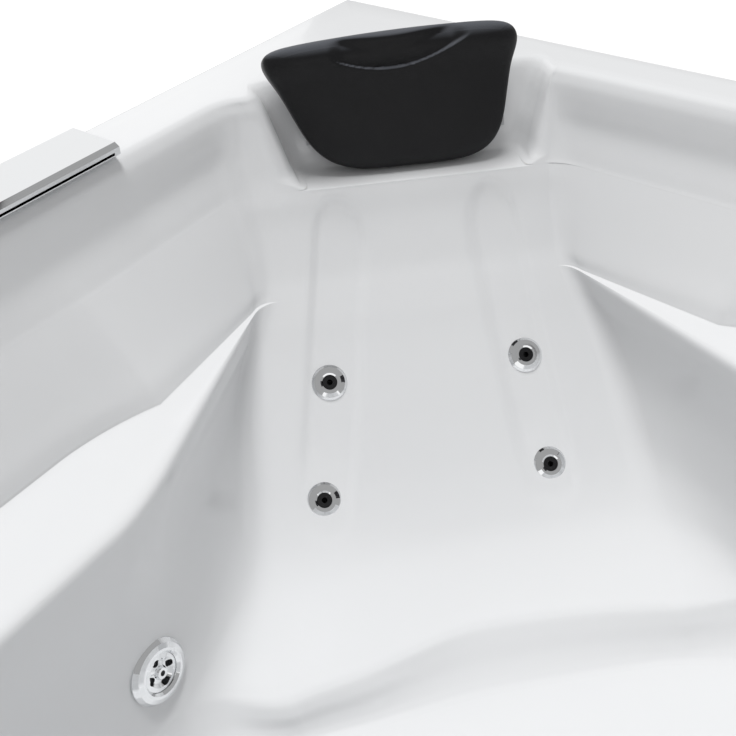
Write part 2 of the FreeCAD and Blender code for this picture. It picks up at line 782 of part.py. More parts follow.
# ---------------------------------------------------------------- back jets
face_r = size("back_face_d") / 2
ball_r = size("nozzle_d") / 2
gap = size("running_gap")
rise = size("back_face_rise")
BALL_BORE = 7
back_face = turned("back_jet_face", [
    (ball_r + gap, 0), (face_r, 0), (face_r, 1.6), (face_r - 3, rise - 1.6), (face_r - 8, rise),
    (ball_r + 1.5, rise), (ball_r - 0.7, rise - 0.6), (ball_r + gap, 2.2),
])
set_of("back_jet_faces", back_face, [seat.placement() for seat in back_seats.values()])
for name, seat in back_seats.items():
    ball = doc.addObject("Part::Sphere", "ball_" + name)
    ball.setExpression("Radius", ball_r.text)
    ball.Angle1 = -50
    ball.Angle2 = 30
    bore = doc.addObject("Part::Cylinder", "bore_" + name)
    bore.Radius = BALL_BORE / 2
    bore.Height = 2 * mm("nozzle_d")
    bore.Placement.Base = Vector(0, 0, -mm("nozzle_d"))
    nozzle = doc.addObject("Part::Cut", "nozzle_" + name)
    nozzle.Base = ball
    nozzle.Tool = bore
    keep("back_jet_nozzle_" + name, nozzle, seat.placement())
back_r = size("back_body_d") / 2
back_long = size("back_body_length")
tail_r = size("branch_d") / 2
back_body = turned("back_jet_body", [
    (0, -14), (ball_r + gap, -10), (ball_r + gap, 0), (back_r, 0), (back_r, -back_long + 14),
    (tail_r + 2, -back_long + 10), (tail_r + 2, -back_long), (0, -back_long),
])
back_nut = turned("back_jet_nut", [
    (back_r + 0.1, 0), (back_r + 8, 0), (back_r + 8, -size("nut_height")), (back_r + 0.1, -size("nut_height")),
])
set_of("back_jet_bodies", back_body, [seat.placement() for seat in back_seats.values()])
set_of("back_jet_nuts", back_nut, [seat.placement(-seat.back) for seat in back_seats.values()])

# ---------------------------------------------------------------- side jets
side_r = size("side_face_d") / 2
rotor_r = size("rotor_d") / 2
side_rise = size("side_face_rise")
LOBES = 4
PIN = 6
ROTOR_FLOOR = -6
side_face = turned("side_jet_face", [
    (rotor_r + gap, 0), (side_r, 0), (side_r, 2), (side_r - 4, side_rise - 2), (side_r - 9, side_rise),
    (rotor_r + 3, side_rise), (rotor_r + gap, side_rise - 3),
])
set_of("side_jet_faces", side_face, [seat.placement() for seat in side_seats.values()])
for name, seat in side_seats.items():
    rotor = turned("side_jet_rotor_" + name, [
        (PIN / 2 + 0.05, ROTOR_FLOOR), (rotor_r, ROTOR_FLOOR), (rotor_r, side_rise - 4),
        (rotor_r - 5, side_rise - 3), (rotor_r - 9, side_rise - 6), (8, side_rise - 5), (6, side_rise - 1), (PIN / 2 + 0.05, side_rise - 1),
    ], seat.placement())
    pocketed(rotor, "outlets_" + name, "XY_Plane", 60, circles=[(rotor_r * 0.62, 0, 4.2)], copies=LOBES)
side_body_r = size("side_body_d") / 2
side_long = size("side_body_length")
side_body = turned("side_jet_body", [
    (0, ROTOR_FLOOR - 2), (0, side_rise - 4), (PIN / 2, side_rise - 4), (PIN / 2, ROTOR_FLOOR - gap),
    (rotor_r + gap, ROTOR_FLOOR - gap), (rotor_r + gap, 0), (side_body_r, 0), (side_body_r, -side_long + 18),
    (tail_r + 3, -side_long + 12), (tail_r + 3, -side_long), (0, -side_long),
])
side_nut = turned("side_jet_nut", [
    (side_body_r + 0.1, 0), (side_body_r + 11, 0), (side_body_r + 11, -size("nut_height")),
    (side_body_r + 0.1, -size("nut_height")),
])
set_of("side_jet_bodies", side_body, [seat.placement() for seat in side_seats.values()])
set_of("side_jet_nuts", side_nut, [seat.placement(-seat.back) for seat in side_seats.values()])

# ---------------------------------------------------------------- suction
suction_r = size("suction_face_d") / 2
suction_pipe_r = size("suction_pipe_d") / 2
cover = turned("suction_cover", [
    (0, 5), (suction_r - 9, 5), (suction_r - 6, 0), (suction_r, 0), (suction_r, 3), (suction_r - 8, 9), (0, 12),
], suction_seat.placement())
pocketed(cover, "suction_slots_outer", "XY_Plane", 60, circles=[(suction_r * 0.62, 0, 4)], copies=12)
pocketed(cover, "suction_slots_inner", "XY_Plane", 60, circles=[(suction_r * 0.34, 0, 4)], copies=6)
SUCTION_BODY_LONG = 46
turned("suction_body", [
    (suction_pipe_r - 4, 0), (suction_pipe_r, 0), (suction_pipe_r, -SUCTION_BODY_LONG),
    (0, -SUCTION_BODY_LONG), (0, -SUCTION_BODY_LONG + 4), (suction_pipe_r - 4, -SUCTION_BODY_LONG + 4),
], suction_seat.placement())
turned("suction_nut", [
    (suction_pipe_r + 0.1, 0), (suction_pipe_r + 12, 0), (suction_pipe_r + 12, -size("nut_height")),
    (suction_pipe_r + 0.1, -size("nut_height")),
], suction_seat.placement(-suction_seat.back))

# ---------------------------------------------------------------- overflow, plug and waste
overflow_r = size("overflow_d") / 2
SPINDLE = 10
KNOB_GAP = 1.5
knob = turned("overflow_knob", [
    (SPINDLE / 2 + 0.05, KNOB_GAP), (overflow_r - 8, KNOB_GAP), (overflow_r - 1, 5), (overflow_r - 1, 12),
    (overflow_r - 5, 16), (0, 17), (0, 10), (SPINDLE / 2 + 0.05, 10),
], overflow_seat.placement())
pocketed(knob, "overflow_grips", "XY_Plane", 60, circles=[(overflow_r + 2, 0, 6)], copies=6)
OVERFLOW_BODY_LONG = 58
turned("overflow_body", [
    (0, 9.5), (SPINDLE / 2, 9.5), (SPINDLE / 2, -8), (OVERFLOW_NECK / 2 - 3, -8), (OVERFLOW_NECK / 2 - 3, 0),
    (OVERFLOW_NECK / 2, 0), (OVERFLOW_NECK / 2, -OVERFLOW_BODY_LONG), (0, -OVERFLOW_BODY_LONG),
], overflow_seat.placement())
turned("overflow_nut", [
    (OVERFLOW_NECK / 2 + 0.1, 0), (OVERFLOW_NECK / 2 + 11, 0), (OVERFLOW_NECK / 2 + 11, -size("nut_height")),
    (OVERFLOW_NECK / 2 + 0.1, -size("nut_height")),
], overflow_seat.placement(-overflow_seat.back))
waste_r = size("waste_d") / 2
plug_r = size("plug_d") / 2
drain_r = size("drain_pipe_d") / 2
STEM = 8
DRAIN_BODY_LONG = 62
turned("drain_plug", [
    (0, 4), (plug_r, 4), (plug_r, 6), (plug_r - 6, 9), (0, 11),
], waste_seat.placement())
plug_body = nodes["drain_plug"]
stem_sketch = sketch_on(plug_body, "plug_stem_outline", "XY_Plane", circles=[(0, 0, STEM / 2)])
stem = plug_body.newObject("PartDesign::Pad", "plug_stem")
stem.Profile = stem_sketch
stem_sketch.AttachmentOffset.Base = Vector(0, 0, -26)
stem.Length = 31
turned("drain_flange", [
    (drain_r - 3, 0), (waste_r, 0), (waste_r, 1.5), (waste_r - 3, 3), (drain_r - 3, 3),
], waste_seat.placement())
drain = turned("drain_body", [
    (drain_r - 3, 0), (drain_r, 0), (drain_r, -waste_seat.back), (drain_r + 12, -waste_seat.back),
    (drain_r + 12, -waste_seat.back - 8), (drain_r, -waste_seat.back - 8), (drain_r, -DRAIN_BODY_LONG),
    (0, -DRAIN_BODY_LONG), (0, -DRAIN_BODY_LONG + 3), (drain_r - 3, -DRAIN_BODY_LONG + 3),
], waste_seat.placement())
GUIDE_LOW = -20
RIB_HALF = 1.5
for label, rib_x, rib_y in (
    ("plug_guide_rib", drain_r - 1, sized(RIB_HALF)), ("plug_guide_rib_b", sized(RIB_HALF), drain_r - 1),
):
    corners = [(-rib_x, -rib_y), (rib_x, -rib_y), (rib_x, rib_y), (-rib_x, rib_y)]
    rib = sketch_on(drain, label + "_outline", "XY_Plane", corners)
    rib.AttachmentOffset.Base = Vector(0, 0, GUIDE_LOW)
    pad = drain.newObject("PartDesign::Pad", label)
    pad.Profile = rib
    pad.Length = 6
pocketed(drain, "plug_guide_bore", "XY_Plane", 52, circles=[(0, 0, STEM / 2 + 0.08)])
DRAIN_SIDE = -48
ELBOW = 40
drain_low = waste_seat.point + UP * DRAIN_SIDE
overflow_end = overflow_seat.point - overflow_seat.out * (OVERFLOW_BODY_LONG - 14)
overflow_foot = Vector(overflow_end.x, overflow_end.y, drain_low.z)
OVERFLOW_PIPE_D = 26
overflow_route = [overflow_end, overflow_foot, drain_low + FORWARD * drain_r.value]
overflow_run = pipe(overflow_route, OVERFLOW_PIPE_D, ELBOW)
neck_room = overflow_seat.cylinder(OVERFLOW_NECK + BACK_GAP, -OVERFLOW_BODY_LONG - 1, 0)
code_piece("overflow_pipe", overflow_run.cut(neck_room))
OUTLET_RUN = 150
outlet_route = [drain_low - FORWARD * (drain_r.value + far) for far in (0, OUTLET_RUN)]
code_piece("waste_outlet", pipe(outlet_route, mm("drain_pipe_d")))

# ---------------------------------------------------------------- waterfall inlet and deck controls
DECK_TURN = Rotation(Vector(0, -1, 0), Vector(1, 0, 0), UP, "ZXY")
spout_w = size("spout_width")
spout_h = size("spout_height")
spout_back = DECK_LINE - 25
overhang = size("deck_width") + size("spout_overhang")
SPOUT_LIFT = 0.2
spout = padded("waterfall_spout", "YZ_Plane", size("spout_length"), [
    (spout_back, 0), (size("deck_width") - size("edge_round"), 0), (overhang - 3, 2), (overhang, 5),
    (overhang, spout_h - 4), (overhang - 6, spout_h), (spout_back + 4, spout_h), (spout_back, spout_h - 4),
], placement=FreeCAD.Placement(wall_point(mm("spout_start"), 0, -SPOUT_LIFT), DECK_TURN))
slot = sketch_on(spout, "spout_slot_outline", "YZ_Plane", [
    (overhang - 34, 6), (overhang + 2, 6), (overhang + 2, 9), (overhang - 34, 9),
])
slot.AttachmentOffset.Base = Vector(0, 0, 8)
slot_cut = spout.newObject("PartDesign::Pocket", "spout_slot")
slot_cut.Profile = slot
slot_cut.Reversed = True
drive_length(slot_cut, size("spout_length") - 16)


def deck_place(along, across, lift=0.0):
    """A fitting standing on the deck."""
    return FreeCAD.Placement(wall_point(along, across, -lift), DECK_TURN)


def deck_shank(name, neck, flange, below, place):
    """The fixed part of a deck fitting: bezel, threaded shank through the deck and clamping nut."""
    radius = neck / 2
    nut = radius + DECK_NUT
    return turned(name, [
        (0, -below), (0, 3), (flange / 2, 3), (flange / 2, 0), (radius, 0), (radius, -WALL - BACK_GAP),
        (nut, -WALL - BACK_GAP), (nut, -WALL - 12), (radius, -WALL - 12), (radius, -below),
    ], place)


HANDLE_LIFT = 3 + 0.4
for name, along in VALVES:
    shank = deck_shank(name + "_valve", VALVE_NECK, 44, 70, deck_place(along, DECK_LINE))
    post = sketch_on(shank, name + "_spindle_outline", "XY_Plane", circles=[(0, 0, SPINDLE / 2)])
    spindle = shank.newObject("PartDesign::Pad", name + "_spindle")
    spindle.Profile = post
    drive_length(spindle, size("handle_height") - 8)
    handle_r = size("handle_d") / 2
    handle_top = size("handle_height")
    handle = turned(name + "_handle", [
        (SPINDLE / 2 + 0.05, 0), (handle_r - 4, 0), (handle_r - 6, 10), (handle_r, 16),
        (handle_r, handle_top - 8), (handle_r - 5, handle_top - 3), (0, handle_top), (0, handle_top - 10),
        (SPINDLE / 2 + 0.05, handle_top - 10),
    ], deck_place(along, DECK_LINE, HANDLE_LIFT))
    pocketed(handle, name + "_grips", "XY_Plane", 150, circles=[(handle_r + 6, 0, 11)], copies=4)
turned("spout_tail", [
    (0, 0), (SPOUT_NECK / 2, 0), (SPOUT_NECK / 2, -WALL - BACK_GAP), (SPOUT_NECK / 2 + DECK_NUT, -WALL - BACK_GAP),
    (SPOUT_NECK / 2 + DECK_NUT, -WALL - 12), (SPOUT_NECK / 2, -WALL - 12), (SPOUT_NECK / 2, -70), (0, -70),
], deck_place(SPOUT_MIDDLE, DECK_LINE))

air_body = deck_shank("air_valve", AIR_NECK, 50, 60, deck_place(DECK_LINE, AIR_ALONG))
air_post = sketch_on(air_body, "air_spindle_outline", "XY_Plane", circles=[(0, 0, SPINDLE / 2)])
air_spindle = air_body.newObject("PartDesign::Pad", "air_spindle")
air_spindle.Profile = air_post
drive_length(air_spindle, size("knob_height") - 4)
air_r = size("knob_d") / 2
air_knob = turned("air_control_knob", [
    (SPINDLE / 2 + 0.05, 0), (air_r, 0), (air_r, size("knob_height") - 4), (air_r - 4, size("knob_height")),
    (0, size("knob_height") + 1), (0, size("knob_height") - 6), (SPINDLE / 2 + 0.05, size("knob_height") - 6),
], deck_place(DECK_LINE, AIR_ALONG, HANDLE_LIFT))
pocketed(air_knob, "air_knob_grips", "XY_Plane", 100, circles=[(air_r + 3, 0, 6)], copies=8)

button_r = size("button_d") / 2
travel = size("button_travel")
BEZEL = 8
turned("button_housing", [
    (0, -52), (0, -30), (6, -30), (6, -44), (BUTTON_NECK / 2 - 3, -44), (BUTTON_NECK / 2 - 3, 2),
    (button_r + gap, 2), (button_r + gap, BEZEL), (button_r + 7, BEZEL), (button_r + 10, BEZEL - 3),
    (button_r + 10, 0),
    (BUTTON_NECK / 2, 0), (BUTTON_NECK / 2, -WALL - BACK_GAP), (BUTTON_NECK / 2 + DECK_NUT, -WALL - BACK_GAP),
    (BUTTON_NECK / 2 + DECK_NUT, -WALL - 12), (BUTTON_NECK / 2, -WALL - 12), (BUTTON_NECK / 2, -52),
], deck_place(DECK_LINE, BUTTON_ALONG))
turned("start_button", [
    (0, -29.5 + travel), (5.5, -29.5 + travel), (5.5, 2.4 + travel), (button_r, 2.4 + travel),
    (button_r, BEZEL + travel), (button_r - 3, BEZEL + travel + 2), (0, BEZEL + travel + 2.5),
], deck_place(DECK_LINE, BUTTON_ALONG))

# ---------------------------------------------------------------- pump under the corner of the backrest
PUMP_ALONG = 182
MOTOR_START = 60
PUMP_TURN = Rotation(Vector(0, 1, 0), UP, Vector(1, 0, 0), "ZXY")
SUCTION_STUB = 45
suction_tail = suction_seat.point - suction_seat.out * SUCTION_BODY_LONG
suction_bend = suction_tail - suction_seat.out * SUCTION_STUB
pump_height = suction_bend.z
pump_origin = Vector(-SIDE / 2 + MOTOR_START, SIDE / 2 - PUMP_ALONG, pump_height)
pump_place = FreeCAD.Placement(pump_origin, PUMP_TURN)
motor_r = size("motor_d") / 2
motor_long = size("motor_length")
volute_r = size("volute_d") / 2
volute_long = size("volute_length")
shaft_r = size("shaft_d") / 2
impeller_r = size("impeller_d") / 2
FIN = 6
motor = turned("pump_motor", [
    (0, 8), (motor_r - 12, 8), (motor_r - 12, 0), (motor_r + 1, 0), (motor_r + 1, 34), (motor_r - FIN, 36),
    (motor_r - FIN, motor_long - 12), (motor_r + 1, motor_long - 12), (motor_r + 1, motor_long),
    (shaft_r + 0.1, motor_long), (shaft_r + 0.1, motor_long - 30), (0, motor_long - 30),
], pump_place)
fin = sketch_on(motor, "motor_fin_outline", "XY_Plane", [
    (motor_r - FIN - 1, -1.5), (motor_r, -1.5), (motor_r, 1.5), (motor_r - FIN - 1, 1.5),
])
fin.AttachmentOffset.Base = Vector(0, 0, 35)
fin_pad = motor.newObject("PartDesign::Pad", "motor_fin")
fin_pad.Profile = fin
drive_length(fin_pad, motor_long - 46)
fin_ring = motor.newObject("PartDesign::PolarPattern", "motor_fins")
fin_ring.Originals = [fin_pad]
fin_ring.Axis = (fin, ["N_Axis"])
fin_ring.Angle = 360
fin_ring.Occurrences = 20
motor.Tip = fin_ring
CAVITY = 4
front = motor_long + volute_long
wet = turned("pump_wet_end", [
    (shaft_r + 0.1, motor_long), (volute_r - 12, motor_long), (volute_r, motor_long + 10),
    (volute_r, front - 14), (volute_r - 14, front), (suction_pipe_r + 6, front), (suction_pipe_r + 6, front + 22),
    (suction_pipe_r - 3, front + 22), (suction_pipe_r - 3, front - 16), (impeller_r + CAVITY, front - 16),
    (impeller_r + CAVITY, motor_long + 12), (shaft_r + 0.1, motor_long + 12),
], pump_place)
BOSS = 12
boss = sketch_on(wet, "outlet_boss_outline", "XZ_Plane", circles=[
    (0, motor_long + volute_long / 2, size("water_pipe_d") / 2 + 4)])
boss.AttachmentOffset.Base = Vector(0, 0, -mm("volute_d") / 2 + BOSS)
boss.setExpression("AttachmentOffset.Base.z", "-Sizes.volute_d / 2 + %d" % BOSS)
boss_pad = wet.newObject("PartDesign::Pad", "outlet_boss")
boss_pad.Profile = boss
boss_pad.Reversed = True
boss_pad.Length = 2 * BOSS
rotor = turned("pump_rotor", [
    (0, motor_long - 29), (shaft_r, motor_long - 29), (shaft_r, motor_long + 14), (impeller_r, motor_long + 14),
    (impeller_r, motor_long + 18), (18, motor_long + 24), (10, motor_long + 46), (0, motor_long + 50),
], pump_place)
vane = sketch_on(rotor, "vane_outline", "XY_Plane", [
    (14, -1.5), (impeller_r - 0.5, -9), (impeller_r - 0.5, -6), (14, 1.5),
])
vane.AttachmentOffset.Base = Vector(0, 0, mm("motor_length") + 16)
vane.setExpression("AttachmentOffset.Base.z", "Sizes.motor_length + 16")
vane_pad = rotor.newObject("PartDesign::Pad", "vane")
vane_pad.Profile = vane
vane_pad.Length = 22
vane_ring = rotor.newObject("PartDesign::PolarPattern", "vanes")
vane_ring.Originals = [vane_pad]
vane_ring.Axis = (vane, ["N_Axis"])
vane_ring.Angle = 360
vane_ring.Occurrences = 6
rotor.Tip = vane_ring

BASE_THICK = 6
rail_top = mm("rail_top")
leg_top = pump_height - mm("motor_d") / 2 + 7
base_size = Vector(170, 150, BASE_THICK)
base_corner = Vector(pump_origin.x + 20, pump_origin.y - base_size.y / 2, rail_top)


def make_pump_base():
    """A plate on the frame with two saddles that carry the motor."""
    plate = Part.makeBox(base_size.x, base_size.y, base_size.z, base_corner)
    pieces = [plate]
    for offset in (24, 120):
        corner = Vector(base_corner.x + offset, pump_origin.y - 45, rail_top)
        pieces.append(Part.makeBox(20, 90, leg_top - rail_top, corner))
    saddle = Part.makeCylinder(mm("motor_d") / 2 + 0.2, 400, pump_origin - Vector(50, 0, 0), Vector(1, 0, 0))
    return merged(pieces).cut(saddle)


code_piece("pump_base", make_pump_base())
BOX_LONG, BOX_WIDE, BOX_TALL = 90, 70, 34
box_corner = Vector(pump_origin.x + 50, pump_origin.y - BOX_WIDE / 2, pump_height + mm("motor_d") / 2 + 0.2)


def make_terminal_box():
    """The motor's connection box, with the gland where the supply lead enters."""
    box = Part.makeBox(BOX_LONG, BOX_WIDE, BOX_TALL, box_corner)
    box = box.makeFillet(4, [e for e in box.Edges if abs(e.BoundBox.ZMax - e.BoundBox.ZMin) > 1])
    middle = box_corner + Vector(0, BOX_WIDE / 2, BOX_TALL / 2)
    gland = Part.makeCylinder(11, 8, middle - Vector(8, 0, 0), Vector(1, 0, 0))
    nose = Part.makeCylinder(8, 10, middle - Vector(18, 0, 0), Vector(1, 0, 0))
    hole = Part.makeCylinder(4, 30, middle - Vector(19, 0, 0), Vector(1, 0, 0))
    return merged([box, gland, nose]).cut(hole)


code_piece("terminal_box", make_terminal_box())

# ---------------------------------------------------------------- pipework
pump_axis = Vector(1, 0, 0)
inlet = pump_origin + pump_axis * (mm("motor_length") + mm("volute_length") + 22)
suction_line = Vector(suction_bend.x, pump_origin.y, pump_height)
code_piece("suction_pipe", pipe([suction_tail, suction_bend, suction_line, inlet], mm("suction_pipe_d"), 30))

outlet_spot = pump_origin + pump_axis * (mm("motor_length") + mm("volute_length") / 2)
HEADER_FORWARD = 392
HEADER_DEPTH = 300
BRANCH_LEAD = 16
BRANCH_BEND = 10
HEADER_HALF = 262
SIDE_RUN_ACROSS = 150
SIDE_RUN_BEND = 700
SIDE_RUN_END = 1110


def make_water_pipes():
    """Header behind the backrest, its two side runs and a branch to every jet."""
    diameter = mm("water_pipe_d")
    rise_foot = outlet_spot + UP * (mm("volute_d") / 2 + BOSS)
    tee = seat_point(HEADER_FORWARD, 0, HEADER_DEPTH)
    pieces = []
    for sign, side in ((-1, "left"), (1, "right")):
        def beside(along):
            walls = (along, SIDE_RUN_ACROSS) if sign < 0 else (SIDE_RUN_ACROSS, along)
            return wall_point(*walls, HEADER_DEPTH)

        corner = seat_point(HEADER_FORWARD, sign * HEADER_HALF, HEADER_DEPTH)
        bend, end = beside(SIDE_RUN_BEND), beside(SIDE_RUN_END)
        run = (end - bend).normalize()
        pieces.append(pipe([tee, corner, bend, end], diameter, 60))
        for name in ("rear_", "front_"):
            seat = side_seats[name + side]
            tail = seat.point - seat.out * mm("side_body_length")
            lead = tail - seat.out * BRANCH_LEAD
            route = [tail, lead, bend + run * (lead - bend).dot(run)]
            pieces.append(pipe(route, mm("branch_d"), BRANCH_BEND))
    for seat in back_seats.values():
        tail = seat.point - seat.out * mm("back_body_length")
        aside = tail.dot(ASIDE) - wall_point(0, 0).dot(ASIDE)
        route = [tail, tail - seat.out * BRANCH_LEAD, seat_point(HEADER_FORWARD, aside, HEADER_DEPTH)]
        pieces.append(pipe(route, mm("branch_d"), BRANCH_BEND))
    rise_top = Vector(rise_foot.x, rise_foot.y, tee.z)
    aside = rise_top.dot(ASIDE) - wall_point(0, 0).dot(ASIDE)
    pieces.append(pipe([rise_foot, rise_top, seat_point(HEADER_FORWARD, aside, HEADER_DEPTH)], diameter, 18))
    return merged(pieces)


code_piece("water_pipes", make_water_pipes())

# ---------------------------------------------------------------- base frame, feet and posts
TUBE = mm("tube")
RAIL_LINE = 40
FRONT_POST = 460
END_LINE = SIDE - 48
rail_height = mm("rail_top") - TUBE
CROSS_TIE = 920
PUMP_RAIL = PUMP_ALONG


def square_tube(start, end):
    """A hollow square tube standing on its centre line between two points."""
    run = end - start
    level = run.z == 0
    turn = Rotation(Vector(1, 0, 0) if level else UP, run)

    def bar(width, extra):
        half = width / 2
        if level:
            return Part.makeBox(run.Length + 2 * extra, width, width, Vector(-extra, -half, -half))
        return Part.makeBox(width, width, run.Length + 2 * extra, Vector(-half, -half, -extra))

    outer = bar(TUBE, 0)
    inner = bar(TUBE - 2 * mm("tube_wall"), 1)
    tube = outer.cut(inner)
    tube.Placement = FreeCAD.Placement(start, turn)
    return tube


def rail_point(along, across):
    """A point on the centre line of the base frame."""
    return wall_point(along, across, HEIGHT - rail_height - TUBE / 2)


half_tube = TUBE / 2
rail_start = RAIL_LINE - half_tube
rail_stop = END_LINE + half_tube
code_piece("rail_left", square_tube(rail_point(rail_start, RAIL_LINE), rail_point(rail_stop, RAIL_LINE)))
rail_start = RAIL_LINE + half_tube
code_piece("rail_back", square_tube(rail_point(RAIL_LINE, rail_start), rail_point(RAIL_LINE, rail_stop)))
group("rail_ends", [
    square_tube(rail_point(END_LINE, RAIL_LINE + half_tube), rail_point(END_LINE, FRONT_POST + half_tube)),
    square_tube(rail_point(RAIL_LINE + half_tube, END_LINE), rail_point(FRONT_POST + half_tube, END_LINE)),
])


def diagonal_tube(forward, low, high):
    """A tube across the diagonal, mitred to the rails along the walls."""
    depth = HEIGHT - rail_height - TUBE / 2
    reach = forward + 100
    tube = square_tube(seat_point(forward, -reach, depth), seat_point(forward, reach, depth))
    corner = wall_point(high, low, HEIGHT)
    return tube.common(Part.makeBox(high - low, high - low, HEIGHT, corner))


front_forward = (END_LINE + FRONT_POST) / ROOT2
code_piece("rail_front", diagonal_tube(front_forward, 0, END_LINE - half_tube))
cross_tie = code_piece("cross_tie", diagonal_tube(CROSS_TIE, RAIL_LINE + half_tube, SIDE))
tie_edge = ROOT2 * (CROSS_TIE - half_tube) - PUMP_RAIL - half_tube
pump_rail_end = rail_point(PUMP_RAIL, tie_edge - BACK_GAP)
code_piece("pump_rail", square_tube(rail_point(PUMP_RAIL, rail_start), pump_rail_end))
POSTS = (
    (RAIL_LINE, RAIL_LINE), (END_LINE, RAIL_LINE), (RAIL_LINE, END_LINE), (END_LINE, FRONT_POST),
    (FRONT_POST, END_LINE),
)
group("deck_posts", [
    square_tube(wall_point(a, b, HEIGHT - mm("rail_top")), wall_point(a, b, WALL)) for a, b in POSTS])
PROP_ASIDE = 150
PROP_D = 44
floor_under = HEIGHT - DEPTH - WALL
prop_feet = [
    seat_point(forward, aside, HEIGHT - mm("rail_top"))
    for forward in (CROSS_TIE, front_forward) for aside in (-PROP_ASIDE, PROP_ASIDE)
]
prop_height = floor_under - mm("rail_top")
group("floor_props", [Part.makeCylinder(PROP_D / 2, prop_height, spot, UP) for spot in prop_feet])
foot = turned("levelling_foot", [
    (0, 0), (size("foot_d") / 2, 0), (size("foot_d") / 2, 5), (size("foot_stud_d"), 10),
    (size("foot_stud_d") / 2, 10), (size("foot_stud_d") / 2, rail_height), (0, rail_height),
])
hexagon = [(math.cos(math.radians(60 * k)), math.sin(math.radians(60 * k))) for k in range(6)]
LOCKNUT_TALL = 10
stud_d = size("foot_stud_d")
stud_hole = [(0, 0, stud_d / 2 + 0.1)]
lock = padded("foot_locknut", "XY_Plane", LOCKNUT_TALL, [(stud_d * x, stud_d * y) for x, y in hexagon], stud_hole)
TIE_FOOT = 300
tie_far = (CROSS_TIE + TIE_FOOT) / ROOT2
tie_near = (CROSS_TIE - TIE_FOOT) / ROOT2
FEET = POSTS + ((tie_far, tie_near), (tie_near, tie_far))
foot_places = [FreeCAD.Placement(wall_point(a, b, HEIGHT), Rotation()) for a, b in FEET]
nut_depth = HEIGHT - rail_height + LOCKNUT_TALL + BACK_GAP
nut_places = [FreeCAD.Placement(wall_point(a, b, nut_depth), Rotation()) for a, b in FEET]
set_of("levelling_feet", foot, foot_places)
set_of("foot_locknuts", lock, nut_places)

# ---------------------------------------------------------------- panel fixings
CLIP_HEIGHTS = (95, 470)
CLIP = 24
panel_inner = SIDE - mm("panel_inset") - mm("panel_wall")
clip_start = END_LINE + half_tube


def panel_fixings():
    """Brackets between the posts and the straight ends of the front panel, and their screws."""
    clips, screws = [], []
    reach = panel_inner - clip_start
    for z in CLIP_HEIGHTS:
        corner = wall_point(clip_start + reach, RAIL_LINE - CLIP / 2, HEIGHT - z)
        clips.append(Part.makeBox(CLIP, reach, CLIP, corner))
        corner = wall_point(RAIL_LINE + CLIP / 2, clip_start, HEIGHT - z)
        clips.append(Part.makeBox(reach, CLIP, CLIP, corner))
        face = SIDE - mm("panel_inset")
        for spot, way in (
            (wall_point(face, RAIL_LINE, HEIGHT - z - CLIP / 2), DOWN_LEFT.normalize()),
            (wall_point(RAIL_LINE, face, HEIGHT - z - CLIP / 2), DOWN_RIGHT.normalize()),
        ):
            screws.append(Part.makeSphere(8, spot + way * -5.4, way, 42.5, 90, 360))
    return clips, screws


panel_clips, panel_screws = panel_fixings()
group("panel_clips", panel_clips)
group("panel_screws", panel_screws)

# ---------------------------------------------------------------- pillow
PLATE_THICK = 3
PLATE_WIDTH = 262
PLATE_LOW, PLATE_HIGH = 28, 76
PILLOW_GAP = 0.4
PILLOW_START = 8


def pocket_box(low, high, thickness):
    box = Part.makeBox(high[0] - low[0], high[1] - low[1], thickness, Vector(low[0], low[1], 0))
    box.Placement = FreeCAD.Placement(pocket_point(0, 0, BACK_GAP), POCKET_TURN)
    return box


plate = pocket_box((-PLATE_WIDTH / 2, PLATE_LOW), (PLATE_WIDTH / 2, PLATE_HIGH), PLATE_THICK)
for sign in (-1, 1):
    plate = plate.cut(peg_cylinder(sign, mm("peg_d") + 2 * HOLE_GAP, -5, 20))
code_piece("pillow_plate", plate)
pillow_back = BACK_GAP + PLATE_THICK + PILLOW_GAP
SIDE_ROUND = 11


def pillow_section(rise, width, thick, crown):
    """One level of the pillow: flat back, round sides, crowned face."""
    half = width / 2
    back, front_edge = pillow_back, pillow_back + thick - crown
    r = SIDE_ROUND
    b = r * (1 - 1 / ROOT2)

    def at(aside, proud):
        return pocket_point(aside, rise, proud)

    return Part.Wire([e.toShape() for e in (
        Part.LineSegment(at(-half + r, back), at(half - r, back)),
        Part.Arc(at(half - r, back), at(half - b, back + b), at(half, back + r)),
        Part.LineSegment(at(half, back + r), at(half, front_edge - r)),
        Part.Arc(at(half, front_edge - r), at(half - b, front_edge - b), at(half - r, front_edge)),
        Part.Arc(at(half - r, front_edge), at(0, front_edge + crown), at(-half + r, front_edge)),
        Part.Arc(at(-half + r, front_edge), at(-half + b, front_edge - b), at(-half, front_edge - r)),
        Part.LineSegment(at(-half, front_edge - r), at(-half, back + r)),
        Part.Arc(at(-half, back + r), at(-half + b, back + b), at(-half + r, back)),
    )])


def make_pillow():
    """Moulded cushion: narrow foot, wide top roll, drawn-in edges and a hollow for the neck."""
    top, foot_width = mm("pillow_top"), mm("pillow_foot")
    long, thick = mm("pillow_length"), mm("pillow_thick")
    # share of the length, width, share of the thickness, crown of the face
    levels = (
        (0.0, foot_width - 26, 0.42, 6), (0.06, foot_width, 0.52, 9),
        (0.3, foot_width + (top - foot_width) * 0.42, 0.66, 12),
        (0.62, foot_width + (top - foot_width) * 0.8, 0.84, 5), (0.9, top, 1.0, 10), (1.0, top - 26, 0.7, 8),
    )
    sections = [pillow_section(PILLOW_START + rise * long, w, thick * t, c) for rise, w, t, c in levels]
    return Part.makeLoft(sections, True, False)


code_piece("pillow", make_pillow())
peg_shapes = [peg_cylinder(sign, mm("peg_d"), pillow_back - mm("peg_length"), pillow_back) for sign in (-1, 1)]
group("pillow_pegs", peg_shapes)

